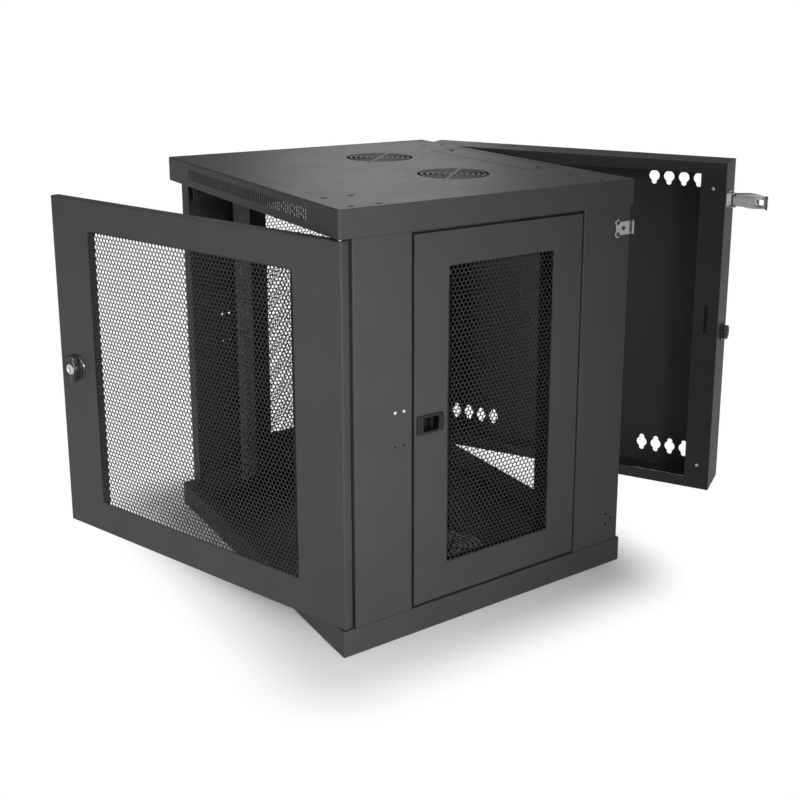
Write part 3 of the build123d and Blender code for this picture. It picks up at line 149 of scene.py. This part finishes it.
class Tree:
    """The shader nodes of a material or the world."""

    def __init__(self, owner):
        owner.use_nodes = True
        self.nodes, self.links = owner.node_tree.nodes, owner.node_tree.links

    def feed(self, node, sockets):
        """Gives a node's sockets their values, or links them to Vals."""
        for name, value in sockets.items():
            if isinstance(value, Val):
                self.links.new(value.out, node.inputs[name])
            else:
                node.inputs[name].default_value = value

    def node(self, kind, settings, sockets, output=0):
        """One output of a new node, whose settings are set before its sockets."""
        node = self.nodes.new("ShaderNode" + kind)
        for name, value in settings.items():
            setattr(node, name, value)
        self.feed(node, sockets)
        return Val(self, node.outputs[output])

    def surface(self, output, shader):
        self.feed(self.nodes[output], {"Surface": shader})


# A Mix node's sockets when it mixes colours
MIX_SHARE, MIX_LOW, MIX_HIGH, MIX_RESULT = 0, 6, 7, 2


class Paint(Tree):
    """A new material, its Principled shader, and the nodes that vary it over a surface."""

    def __init__(self, name, color, roughness, metallic=0.0, specular=0.5):
        self.mat = bpy.data.materials.new(name)
        super().__init__(self.mat)
        self.mat.diffuse_color = (*color, 1)
        self.color = color
        self.shader = self.nodes["Principled BSDF"]
        self.feed(self.shader, {"Base Color": (*color, 1), "Roughness": roughness, "Metallic": metallic,
                                "Specular IOR Level": specular})
        self.place = self.node("TexCoord", {}, {}, "Object")

    def noise(self, size, detail=2.0):
        """Noise whose features are about that many millimetres across."""
        return self.node("TexNoise", {}, {"Scale": 1 / (size * MM), "Detail": detail, "Vector": self.place})

    def tint(self, value, low, high):
        """Base colour between low and high times the plain colour, by a value from 0 to 1."""
        dark, light = ((*(channel * share for channel in self.color), 1) for share in (low, high))
        sockets = {MIX_SHARE: value, MIX_LOW: dark, MIX_HIGH: light}
        self.feed(self.shader, {"Base Color": self.node("Mix", {"data_type": "RGBA"}, sockets, MIX_RESULT)})

    def rough(self, value):
        self.feed(self.shader, {"Roughness": value})

    def bump(self, value, height):
        """Bump from a value from 0 to 1, that high in millimetres."""
        self.feed(self.shader, {"Normal": self.node("Bump", {}, {"Distance": height * MM, "Height": value})})


# Finishes
def powder_coat(name, color):
    """Fine-grained powder coat: a dense orange peel, with a slow drift in tone and gloss."""
    coat = Paint(name, color, 0.45, specular=0.2)
    coat.tint(coat.noise(90, 3).ramp(0.3, 0.7), 0.96, 1.04)
    coat.rough(coat.noise(60).ramp(0.3, 0.7, 0.44, 0.47))
    coat.bump(coat.noise(1.6), 0.05)
    return coat.mat


def zinc(name, color, roughness, metallic=1.0):
    """Zinc plating: a cool grey metal with cloudy patches."""
    plate = Paint(name, color, roughness, metallic)
    plate.tint(plate.noise(9, 3).ramp(0.3, 0.7), 0.90, 1.06)
    plate.rough(plate.noise(8).ramp(0.3, 0.7, roughness - 0.04, roughness + 0.05))
    plate.bump(plate.noise(12, 1), 0.02)
    return plate.mat


def plastic(name, color, roughness):
    """Smooth moulded or lacquered black, with a faint unevenness in its gloss."""
    skin_paint = Paint(name, color, roughness)
    skin_paint.tint(skin_paint.noise(14).ramp(0.3, 0.7), 0.85, 1.15)
    skin_paint.rough(skin_paint.noise(8).ramp(0.3, 0.7, roughness - 0.05, roughness + 0.06))
    skin_paint.bump(skin_paint.noise(2.5), 0.02)
    return skin_paint.mat


COAT = powder_coat("powder_coat", (0.030, 0.030, 0.031))
MESH_COAT = powder_coat("powder_coat_mesh", (0.014, 0.014, 0.015))
ZINC = zinc("zinc_plate", (0.46, 0.46, 0.45), 0.27)
# Front rails: a dull zinc darker than the plated parts, painted shade of rails deep in the cabinet
RAIL_ZINC_SHADE = zinc("zinc_rail_painted_shade", (0.27, 0.27, 0.26), 0.45, 0.35)
STUD_ZINC = zinc("zinc_stud", (0.42, 0.42, 0.41), 0.45, 0.35)
SCREW = zinc("zinc_screw", (0.60, 0.60, 0.58), 0.33)
DARK_SCREW = plastic("black_screw", (0.014, 0.014, 0.015), 0.4)
BEZEL = powder_coat("latch_bezel", (0.010, 0.010, 0.011))
# Slide latch parts near-black, darker than their black plastic: painted shade of the latch's pocket
LATCH_BLACK_SHADE = powder_coat("latch_black_painted_shade", (0.003, 0.003, 0.003))
BLACK = plastic("black_lacquer", (0.012, 0.012, 0.013), 0.32)
CHROME = zinc("bright_cylinder", (0.72, 0.72, 0.73), 0.2)
SLOTS = {
    "powder_coated_sheet": COAT,
    "perforated_sheet": MESH_COAT,
    "zinc_steel": ZINC,
    "black_lock_parts": BLACK,
    "bright_cylinder": CHROME,
}


def finish_of(node):
    """The finish of a CAD node: its slot's, apart from fasteners, rails and slide latches, whose darker finishes
    are painted shade.
    """
    if "screw" in node or "bolt" in node or "rivet" in node:
        return SCREW
    if node.endswith("_rail"):
        # Front rails in the darker zinc, rear rails in the dark coat instead of zinc: painted shade
        return RAIL_ZINC_SHADE if node.startswith("front") else COAT
    if "panel_latch" in node:
        # Near-black slide latch parts: painted shade of the latch's pocket
        return LATCH_BLACK_SHADE
    return SLOTS[SLOT_OF[node]]


for node, obj in frame["nodes"].items():
    obj.data.materials.clear()
    obj.data.materials.append(finish_of(node))


# Pieces made from mesh data
def piece(name, bm, place, look, body, smooth=True, bevel=0.0):
    """An object from mesh data in millimetres, put in place in the row frame and riding on a body."""
    bmesh.ops.transform(bm, matrix=place, verts=bm.verts)
    bmesh.ops.recalc_face_normals(bm, faces=bm.faces)
    data = bpy.data.meshes.new(name)
    bm.to_mesh(data)
    bm.free()
    obj = bpy.data.objects.new(name, data)
    bpy.context.scene.collection.objects.link(obj)
    data.materials.append(look)
    if smooth:
        data.shade_smooth()
        data.set_sharp_from_angle(angle=math.radians(35))
    if bevel:
        mod = obj.modifiers.new("Bevel", "BEVEL")
        mod.width, mod.segments, mod.limit_method = bevel * MM, 3, "ANGLE"
        mod.harden_normals = True
    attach(obj, body)
    return obj


def around(count, radius):
    """Points at even angles round a middle, the first straight up."""
    angles = [math.radians(360 / count * k) for k in range(count)]
    return [(radius * math.sin(angle), radius * math.cos(angle)) for angle in angles]


SQUARE = ((-1, -1), (1, -1), (1, 1), (-1, 1))
PUNCH_PITCH = 7.2
PUNCH_HOLE = 6.3
SHEET_THICKNESS = 0.9


def perforated(name, node, sheet, columns, rows, body):
    """A punched sheet: staggered round holes in cells of six sides, and a plain border round the cells.

    The sheet is the frame of its face, its width and its height; its back lies behind that face.
    """
    place, width, height = sheet
    bm = bmesh.new()
    row_step = PUNCH_PITCH * math.sin(math.radians(60))
    cell_reach = PUNCH_PITCH / 2 / math.cos(math.radians(30))
    shared = {}

    def cell_vert(x, y):
        key = (round(x, 3), round(y, 3))
        if key not in shared:
            shared[key] = bm.verts.new((x, y, 0))
        return shared[key]

    for row in range(rows):
        count = columns - row % 2
        y = (row - (rows - 1) / 2) * row_step
        for column in range(count):
            x = (column - (count - 1) / 2) * PUNCH_PITCH
            cell = [cell_vert(x + across, y + up) for across, up in around(6, cell_reach)]
            rim = [bm.verts.new((x + across, y + up, 0)) for across, up in around(12, PUNCH_HOLE / 2)]
            for k in range(6):
                bm.faces.new((cell[k], rim[2 * k], rim[2 * k + 1], rim[(2 * k + 2) % 12], cell[(k + 1) % 6]))
    cell_verts = set(shared.values())
    inner = [edge for edge in bm.edges if edge.is_boundary and all(vert in cell_verts for vert in edge.verts)]
    border = [bm.verts.new((x * width / 2, y * height / 2, 0)) for x, y in SQUARE]
    outer = [bm.edges.new((border[k], border[(k + 1) % 4])) for k in range(4)]
    bmesh.ops.triangle_fill(bm, use_beauty=True, edges=inner + outer)
    for face in bm.faces:
        if face.normal.z < 0:
            face.normal_flip()
    obj = piece(name, bm, place, MESH_COAT, body, smooth=False)
    mod = obj.modifiers.new("Solidify", "SOLIDIFY")
    mod.thickness, mod.offset, mod.use_even_offset = SHEET_THICKNESS * MM, -1, False
    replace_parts(obj, node)


DOOR_MESH = face_of("front_door_mesh", DOOR, "front")
RIGHT_MESH = face_of("right_panel_mesh", BODY, "right")
LEFT_MESH = (MIRROR @ RIGHT_MESH[0], *RIGHT_MESH[1:])
perforated("front_mesh_sheet", "front_door_mesh", DOOR_MESH, 59, 72, "front_door")
perforated("right_mesh_sheet", "right_panel_mesh", RIGHT_MESH, 26, 71, "right_panel")
perforated("left_mesh_sheet", "left_panel_mesh", LEFT_MESH, 26, 71, "left_panel")


# Rings of points
ROUND = 48


def circle(radius, z, count=ROUND, lobes=0, depth=0.0):
    """A ring of points; its radius rises and falls by depth that many times round it."""
    ring = []
    for k in range(count):
        angle = math.tau * k / count
        reach = radius + depth * math.cos(lobes * angle)
        ring.append((reach * math.cos(angle), reach * math.sin(angle), z))
    return ring


def lathe(*stations):
    """Plain circles, each from its radius and height."""
    return [circle(radius, z) for radius, z in stations]


def bar(half_width, half_height, z):
    """A rectangle as a ring of points at even angles, such as a keyway."""
    ring = []
    for k in range(ROUND):
        angle = math.tau * (k + 0.5) / ROUND
        reach = min(half_width / abs(math.cos(angle)), half_height / abs(math.sin(angle)))
        ring.append((reach * math.cos(angle), reach * math.sin(angle), z))
    return ring


WING_HUB = 13
WING_HALF_WIDTH = 7.5
WING_REACH = 15.5


def winged(inset, z):
    """The outline of a winged knob: a round hub with an upright grip across it, drawn in by an inset."""
    hub, half_width = WING_HUB - inset, WING_HALF_WIDTH - inset
    ring = []
    for k in range(ROUND):
        angle = math.tau * k / ROUND
        across, along = abs(math.cos(angle)), abs(math.sin(angle))
        if along * half_width < WING_REACH * across:
            grip = half_width / across
        else:
            grip = WING_REACH * along + math.sqrt(max(half_width ** 2 - (WING_REACH * across) ** 2, 0))
        reach = max(hub, grip)
        ring.append((reach * math.cos(angle), reach * math.sin(angle), z))
    return ring


def rounded(width, height, corner, z, right_corner=None, per_corner=6):
    """A rounded rectangle as a ring of points; its right corners can be rounder than its left ones."""
    ring = []
    for side_x, side_y, start in ((1, 1, 0), (-1, 1, 90), (-1, -1, 180), (1, -1, 270)):
        radius = right_corner if right_corner and side_x > 0 else corner
        for k in range(per_corner):
            angle = math.radians(start + 90 * k / (per_corner - 1))
            ring.append((side_x * (width / 2 - radius) + radius * math.cos(angle),
                         side_y * (height / 2 - radius) + radius * math.sin(angle), z))
    return ring


def skin(bm, rings, closed=False):
    """Faces from each ring of points to the next, and over the two ends unless the last meets the first."""
    rows = [[bm.verts.new(point) for point in ring] for ring in rings]
    count = len(rows[0])
    for near, far in zip(rows, rows[1:] + rows[:1] if closed else rows[1:]):
        for k in range(count):
            bm.faces.new((near[k], near[(k + 1) % count], far[(k + 1) % count], far[k]))
    if not closed:
        bm.faces.new(rows[0][::-1])
        bm.faces.new(rows[-1])


def turned(name, rings, place, look, body, *nodes, closed=False):
    """One piece from its rings, such as a lathe makes, which stands for CAD nodes."""
    bm = bmesh.new()
    skin(bm, rings, closed)
    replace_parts(piece(name, bm, place, look, body), *nodes)


def head_rings(radius, height, shank, cross):
    """A pan head on its shank, with a cross in it, or a rivet's dome."""
    count = 32
    rings = [circle(radius * 0.5, -shank, count), circle(radius * 0.5, 0, count), circle(radius, 0, count),
             circle(radius, height * 0.35, count), circle(radius * 0.86, height * 0.8, count)]
    if not cross:
        return rings + [circle(radius * 0.45, height, count)]
    return rings + [circle(radius * 0.62, height, count),
                    circle(radius * 0.36, height * 0.98, count, 4, radius * 0.2),
                    circle(radius * 0.22, height * 0.15, count, 4, radius * 0.12)]


def heads(name, spots, radius, height, shank, look, body, cross=True, node=None):
    """Screw or rivet heads as one piece, each at the frame of the face that it sits on."""
    bm = bmesh.new()
    for spot in spots:
        head = bmesh.new()
        skin(head, head_rings(radius, height, shank, cross))
        bmesh.ops.transform(head, matrix=spot, verts=head.verts)
        part = bpy.data.meshes.new("head")
        head.to_mesh(part)
        head.free()
        bm.from_mesh(part)
        bpy.data.meshes.remove(part)
    obj = piece(name, bm, Matrix.Identity(4), look, body)
    if node:
        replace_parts(obj, node)


# Bright studs in the upper pair of holes of the right front strip
STUD_HOLES = MOUNTS["right_strip_upper_holes"]
STUD_FACE = view_of(BODY, Vector(STUD_HOLES["pos_m"]) / MM, "right")
STUD_SPOTS = spots_on(STUD_FACE, pair(STUD_HOLES["dims"]["spacing_x_mm"] / 2))
heads("strip_studs", STUD_SPOTS, 2.4, 0.9, 0.6, STUD_ZINC, "cabinet", cross=False)

# Cable covers and their screws; a groove shows round each cover, between it and its cut-out
COVER_GROOVE = 1
COVER_SCREW_IN = 16


def cover_plate(name, node, face, body):
    place, width, depth = face
    wide, deep = width - 2 * COVER_GROOVE, depth - 2 * COVER_GROOVE
    rings = [rounded(wide, deep, 1.5, -1.5), rounded(wide, deep, 1.5, -0.5),
             rounded(wide - 1, deep - 1, 1.2, 0)]
    turned(name, rings, place, COAT, body, node)


def cover_screw_spots(face):
    return spots_on(face[0], pair(face[1] / 2 - COVER_SCREW_IN))


TOP_COVER = face_of("top_cable_cover", BODY, "up")
SECTION_TOP_COVER = face_of("section_top_cover", REAR, "up")
SECTION_BOTTOM_COVER = face_of("section_bottom_cover", REAR, "down")
cover_plate("top_cover_plate", "top_cable_cover", TOP_COVER, "cabinet")
cover_plate("section_cover_plate", "section_top_cover", SECTION_TOP_COVER, "rear_section")
SECTION_SPOTS = cover_screw_spots(SECTION_TOP_COVER) + cover_screw_spots(SECTION_BOTTOM_COVER)
heads("top_cover_screw_heads", cover_screw_spots(TOP_COVER), 4, 2, 6, DARK_SCREW, "cabinet",
      node="top_cover_screws")
heads("section_cover_screw_heads", SECTION_SPOTS, 4, 2, 6, DARK_SCREW, "rear_section",
      node="section_cover_screws")

# Pressed dimples at the corners of the top
DIMPLE_X = (-284, -210, 210, 284)
DIMPLE_Y = (-230, -188, 203, 245)
TOP_FACE = view_of(BODY, (0, 0, corners("top_tray", BODY)[1].z), "up")
DIMPLES = spots_on(TOP_FACE, [(x, y) for x in DIMPLE_X for y in DIMPLE_Y], -0.1)
heads("top_dimples", DIMPLES, 4.5, 1.1, 0.1, COAT, "cabinet", cross=False)

# Screws on the section's flanges
FLANGE_LOW, FLANGE_HIGH = corners("section_flange_screws", REAR)
FLANGE_MIDDLE = (FLANGE_LOW + FLANGE_HIGH) / 2
FLANGE_FACE = view_of(REAR, (FLANGE_MIDDLE.x, FLANGE_HIGH.y, FLANGE_MIDDLE.z), "front")
heads("flange_screw_heads", spots_on(FLANGE_FACE, four(273.5, 261.5)), 3, 1, 1.2, SCREW, "rear_section",
      node="section_flange_screws")


def key_face(low, high):
    """A key cylinder with a rim, a sunk face and an upright keyway."""
    rim = lathe((8.95, low), (8.95, high - 0.8), (8.2, high), (6.9, high), (6.5, high - 0.6))
    return rim + [bar(0.8, 3.6, high - 0.6), bar(0.8, 3.6, high - 3)]


# Door lock: a rose, a winged knob and a bright key cylinder
DOOR_LOCK = view_of(DOOR, joint_of("door_lock_turn", DOOR), "front")
DOOR_ROSE = lathe((5.05, -12), (9, -12), (9, 0), (20, 0), (20.6, 0.8), (20, 2), (18.8, 2.6), (17.8, 2),
                  (14.6, 2), (13.8, 2.9), (5.05, 2.9))
DOOR_WINGS = [winged(inset, z) for inset, z in ((0.2, 3.3), (0, 4), (0.8, 10.6), (1.4, 12), (2.6, 12.6))]
DOOR_GRIP = lathe((5, -23.5), (5, 3.3)) + DOOR_WINGS + lathe((9.9, 12.6), (9.05, 12), (9.05, 8))
turned("door_lock_rose", DOOR_ROSE, DOOR_LOCK, BLACK, "front_door", "door_lock_housing", closed=True)
turned("door_lock_grip", DOOR_GRIP, DOOR_LOCK, BLACK, "door_lock", "door_lock_knob")
turned("door_lock_cylinder", key_face(8.3, 14.2), DOOR_LOCK, CHROME, "door_key", "door_key_cylinder")

# Lock of the rear section: a fluted round knob
REAR_LOCK = view_of(REAR, joint_of("rear_lock_turn", REAR), "right")
REAR_ROSE = lathe((5.05, -12), (9, -12), (9, 0), (16.6, 0), (17.2, 0.8), (16.8, 2), (15.4, 2.9), (5.05, 2.9))
REAR_FLUTES = [circle(radius, z, lobes=12, depth=depth) for radius, z, depth in (
    (13.4, 4, 0.55), (13, 9.2, 0.55), (12.2, 10.4, 0.3))]
REAR_GRIP = (lathe((5, -21.2), (5, 3.3), (13.4, 3.3)) + REAR_FLUTES
             + lathe((9.8, 10.4), (9.05, 9.8), (9.05, 5.5)))
turned("rear_lock_rose", REAR_ROSE, REAR_LOCK, BLACK, "rear_section", "rear_lock_housing", closed=True)
turned("rear_lock_grip", REAR_GRIP, REAR_LOCK, BLACK, "rear_lock", "rear_lock_knob")
turned("rear_lock_cylinder", key_face(5.8, 11), REAR_LOCK, DARK_SCREW, "rear_key", "rear_key_cylinder")

# Bezels of the slide latches, rounder at the end towards the mesh
SIDE = corners("right_side_panel", BODY)[1].x
LATCH_LOW, LATCH_HIGH = corners("right_panel_latch_housing", BODY)
LATCH_MIDDLE = (LATCH_LOW + LATCH_HIGH) / 2
SLIDE_LATCH = view_of(BODY, (SIDE, LATCH_MIDDLE.y, LATCH_MIDDLE.z), "right")
BEZEL_RINGS = [rounded(46, 28, 2, 0.8, 12), rounded(46, 28, 2, 1.8, 12), rounded(44.6, 26.6, 1.6, 2.6, 11),
               rounded(27.4, 22.4, 1.6, 2.6), rounded(25, 20, 1, 1.6), rounded(25, 20, 1, 0.8)]
for side, place in (("right", SLIDE_LATCH), ("left", MIRROR @ SLIDE_LATCH)):
    turned(f"{side}_latch_bezel", BEZEL_RINGS, place, BEZEL, f"{side}_panel", closed=True)


def folded_strip(bm, path, thickness, half_width):
    """A strip along a path in the x-z plane, of that thickness and that wide along y."""
    lines = []
    for side in (1, -1):
        line = []
        for k, point in enumerate(path):
            before, after = Vector(path[max(k - 1, 0)]), Vector(path[min(k + 1, len(path) - 1)])
            way = (after - before).normalized()
            line.append((point[0] - side * way.y * thickness / 2, point[1] + side * way.x * thickness / 2))
        lines.append(line if side > 0 else line[::-1])
    outline = lines[0] + lines[1]
    skin(bm, [[(x, y, z) for x, z in outline] for y in (-half_width, half_width)])


# Catch plate for the draw latch: two screw lobes, a plate and a curled lip
CATCH_LOW, CATCH_HIGH = corners("catch_plate", BODY)
LOBE_RADIUS = 5.5
LOBE_MIDDLE = 9
LOBE_IN = 7
CATCH_HALF = 10.5
CATCH = view_of(BODY, (SIDE, CATCH_LOW.y + LOBE_IN, (CATCH_LOW.z + CATCH_HIGH.z) / 2), "right")
CATCH_SCREWS = ((0, LOBE_MIDDLE), (0, -LOBE_MIDDLE), (11, 0))
CATCH_CURL = ((27.5, 0.75), (29.2, 0.8), (30.2, 1.5), (30.6, 2.6), (30.1, 3.8), (28.9, 4.5), (26.8, 4.6))


def catch_plate():
    bm = bmesh.new()
    turns = [math.radians(degrees) for degrees in range(-75, -226, -15)]
    lobe = [(LOBE_RADIUS * math.cos(turn), LOBE_RADIUS * math.sin(turn) - LOBE_MIDDLE) for turn in turns]
    half = [(29, -CATCH_HALF), (4, -CATCH_HALF)] + lobe
    outline = half + [(x, -y) for x, y in half[::-1]]
    skin(bm, [[(x, y, z) for x, y in outline] for z in (0.05, 1.5)])
    folded_strip(bm, CATCH_CURL, 1.3, CATCH_HALF)
    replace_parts(piece("catch_plate_curled", bm, CATCH, ZINC, "cabinet", bevel=0.25), "catch_plate")
    heads("catch_plate_screw_heads", spots_on(CATCH, CATCH_SCREWS, 1.5), 3.3, 1.2, 6, DARK_SCREW, "cabinet",
          node="catch_plate_screws")


catch_plate()

# Draw latch: a folded lever with a window near its end, and its rivets
LEVER_THICKNESS = 1.3
LEVER_BEFORE_PIN = 2.5
LEVER_OVER_PIN = 3.8
# Along the lever: distance, half height of its face, half height at its flanges' edge, their depth, its rise
LEVER_STATIONS = (
    (0.5, 7.0, 10.4, 7.6, 0), (5, 7.6, 10.9, 10.5, 0), (12, 8.2, 11.1, 11.4, 0), (20, 9.0, 11.9, 11.4, 0),
    (30, 9.8, 12.8, 9.6, 0), (38, 10.2, 12.8, 7.0, 0), (44, 10.2, 12.0, 5.0, 0), (55.5, 9.6, 10.4, 1.6, 0),
    (57.5, 9.8, 10.6, 0.8, 0.1), (59.5, 10.8, 11.6, 0, 0.6), (61.5, 11.6, 12.2, 0, 1.8),
    (62.8, 12.0, 12.6, 0, 3.4), (63.2, 11.6, 12.4, 0, 4.7),
)
WINDOW_FROM = 44
WINDOW_HALF = 5
WINDOW_STRIP = 3


def latch_lever():
    bm = bmesh.new()
    rows = []
    for distance, face, edge, depth, rise in LEVER_STATIONS:
        shoulder, fold = (face + edge) / 2, rise - depth * 0.4
        upper = [(WINDOW_HALF, rise), (face, rise), (shoulder, fold), (edge, rise - depth)]
        section = [(-y, z) for y, z in upper[::-1]] + upper
        rows.append([bm.verts.new((distance, y, z)) for y, z in section])
    for near, far, station in zip(rows, rows[1:], LEVER_STATIONS):
        for k in range(len(near) - 1):
            if k != WINDOW_STRIP or station[0] != WINDOW_FROM:
                bm.faces.new((near[k], far[k], far[k + 1], near[k + 1]))
    pin = joint_of("latch_lever_turn", REAR)
    place = view_of(REAR, (pin.x - LEVER_BEFORE_PIN, pin.y - LEVER_OVER_PIN, pin.z), "front")
    lever = piece("draw_latch_lever_folded", bm, place, ZINC, "latch_lever")
    shell = lever.modifiers.new("Solidify", "SOLIDIFY")
    shell.thickness, shell.offset = LEVER_THICKNESS * MM, -1
    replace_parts(lever, "draw_latch_lever")


latch_lever()
RIVETS_LOW, RIVETS_HIGH = corners("draw_latch_rivets", REAR)
RIVETS_MIDDLE = (RIVETS_LOW + RIVETS_HIGH) / 2
RIVET_FACE = view_of(REAR, (RIVETS_LOW.x, RIVETS_MIDDLE.y, RIVETS_MIDDLE.z), "right")
heads("draw_latch_rivet_heads", spots_on(RIVET_FACE, four(7, 9)), 2.6, 1.2, 0.1, SCREW, "rear_section",
      cross=False, node="draw_latch_rivets")


# Floor and sky: white to the camera, and plain light to the object
def white_share(tree, rays_seen):
    """How far each kind of ray sees the white background instead of the light that falls on it."""
    share = tree.node("LightPath", {}, {}, "Is Camera Ray")
    for name, strength in rays_seen.items():
        share = share.math("MAXIMUM", tree.node("LightPath", {}, {}, name) * strength)
    return share


def mixed(tree, share, plain, white):
    return tree.node("MixShader", {}, {0: share, 1: plain, 2: white})


WHITE = (1, 1, 1, 1)
SKY_RAYS = {"Is Glossy Ray": 0.1, "Is Transmission Ray": 1.0}
SKY_STRENGTH = 0.1
FLOOR_RAYS = {"Is Glossy Ray": 0.6, "Is Transmission Ray": 1.0}
# Grey floor near the object, white beyond: painted shade round the footprint as well as the lamps' real shadow
FLOOR_SHADE_GREY = (0.66, 0.66, 0.66)
FLOOR_REACH = 30
FLOOR_LEVEL = -0.0005
# The floor's real shadow shows under a rectangle, and fades to white past its edges, in metres; under it the grey
# floor adds painted shade round the footprint
SHADOW_MIDDLE = (0.0, -0.03)
SHADOW_HALF = (0.30, 0.23)
SHADOW_REACH = (0.02, 0.16)


def make_floor():
    mesh = bpy.data.meshes.new("floor")
    mesh.from_pydata([(x * FLOOR_REACH, y * FLOOR_REACH, 0) for x, y in SQUARE], [], [(0, 1, 2, 3)])
    floor = bpy.data.objects.new("floor", mesh)
    floor.location.z = FLOOR_LEVEL
    bpy.context.scene.collection.objects.link(floor)
    # The floor's grey near the object is painted shade besides the real shadow
    paint = Paint("floor", FLOOR_SHADE_GREY, 0.9, specular=0.0)
    past = []
    for axis, middle, half in zip("XY", SHADOW_MIDDLE, SHADOW_HALF):
        along = paint.node("SeparateXYZ", {}, {0: paint.place}, axis)
        past.append(((along - middle).math("ABSOLUTE") - half).math("MAXIMUM", 0.0))
    away = (past[0] * past[0] + past[1] * past[1]).math("SQRT").ramp(*SHADOW_REACH)
    plain = Val(paint, paint.shader.outputs[0])
    glow = paint.node("Emission", {}, {"Color": WHITE, "Strength": 1.0})
    paint.surface("Material Output", mixed(paint, white_share(paint, FLOOR_RAYS) * away, plain, glow))
    mesh.materials.append(paint.mat)


def make_sky():
    world = bpy.context.scene.world or bpy.data.worlds.new("world")
    bpy.context.scene.world = world
    tree = Tree(world)
    background = tree.nodes["Background"]
    tree.feed(background, {"Color": WHITE, "Strength": SKY_STRENGTH})
    plain = Val(tree, background.outputs[0])
    white = tree.node("Background", {}, {"Color": WHITE, "Strength": 1.0})
    tree.surface("World Output", mixed(tree, white_share(tree, SKY_RAYS), plain, white))


make_floor()
make_sky()


def lamp(name, spot, aim, size, power, spread=180):
    """A square soft box that faces a point, its beam that many degrees wide."""
    data = bpy.data.lights.new(name, "AREA")
    data.size, data.energy = size, power
    data.spread = math.radians(spread)
    obj = bpy.data.objects.new(name, data)
    obj.location = spot
    obj.rotation_euler = (Vector(aim) - Vector(spot)).to_track_quat("-Z", "Y").to_euler()
    bpy.context.scene.collection.objects.link(obj)


lamp("overhead", (0.0, 0.0, 3.4), (0, 0, 0), 4.5, 62)
lamp("right", (2.3, -0.6, 0.9), (0.3, -0.4, 0.35), 0.8, 8.3, 45)
lamp("front", (0.2, -2.5, 0.6), (-0.2, -0.4, 0.35), 0.8, 3.4, 60)
lamp("rear_low", (-1.5, 2.2, 0.3), (0.0, 0.35, 0.3), 0.6, 6, 60)
lamp("back", (-1.95, 1.15, 1.6), (0.1, -0.15, 0.63), 0.8, 1.3, 90)

FRAME_PX = 800
SENSOR = 36


def photo_camera(azimuth, elevation, roll, distance, focal_px, target, centre_px):
    """The photograph's viewpoint, with its principal point at a pixel of the square frame."""
    a, e, r = (math.radians(v) for v in (azimuth, elevation, roll))
    back = Vector((math.sin(a) * math.cos(e), -math.cos(a) * math.cos(e), math.sin(e)))
    level = Vector((0, 0, 1)).cross(back).normalized()
    upright = back.cross(level)
    right = level * math.cos(r) + upright * math.sin(r)
    up = upright * math.cos(r) - level * math.sin(r)
    data = bpy.data.cameras.new("camera")
    data.sensor_width, data.lens = SENSOR, focal_px / FRAME_PX * SENSOR
    data.shift_x = (FRAME_PX / 2 - centre_px[0]) / FRAME_PX
    data.shift_y = (centre_px[1] - FRAME_PX / 2) / FRAME_PX
    data.clip_end = 100
    obj = bpy.data.objects.new("camera", data)
    turn = Matrix((right, up, back)).transposed().to_4x4()
    obj.matrix_world = Matrix.Translation((Vector(target) + back * distance) * MM) @ turn
    bpy.context.scene.collection.objects.link(obj)
    bpy.context.scene.camera = obj


photo_camera(azimuth=55.1, elevation=12.3, roll=0.6, distance=1645.9, focal_px=1102.0,
             target=(197.9, 0, 534.2), centre_px=(458.2, 250))
bpy.context.scene.view_settings.view_transform = "Standard"
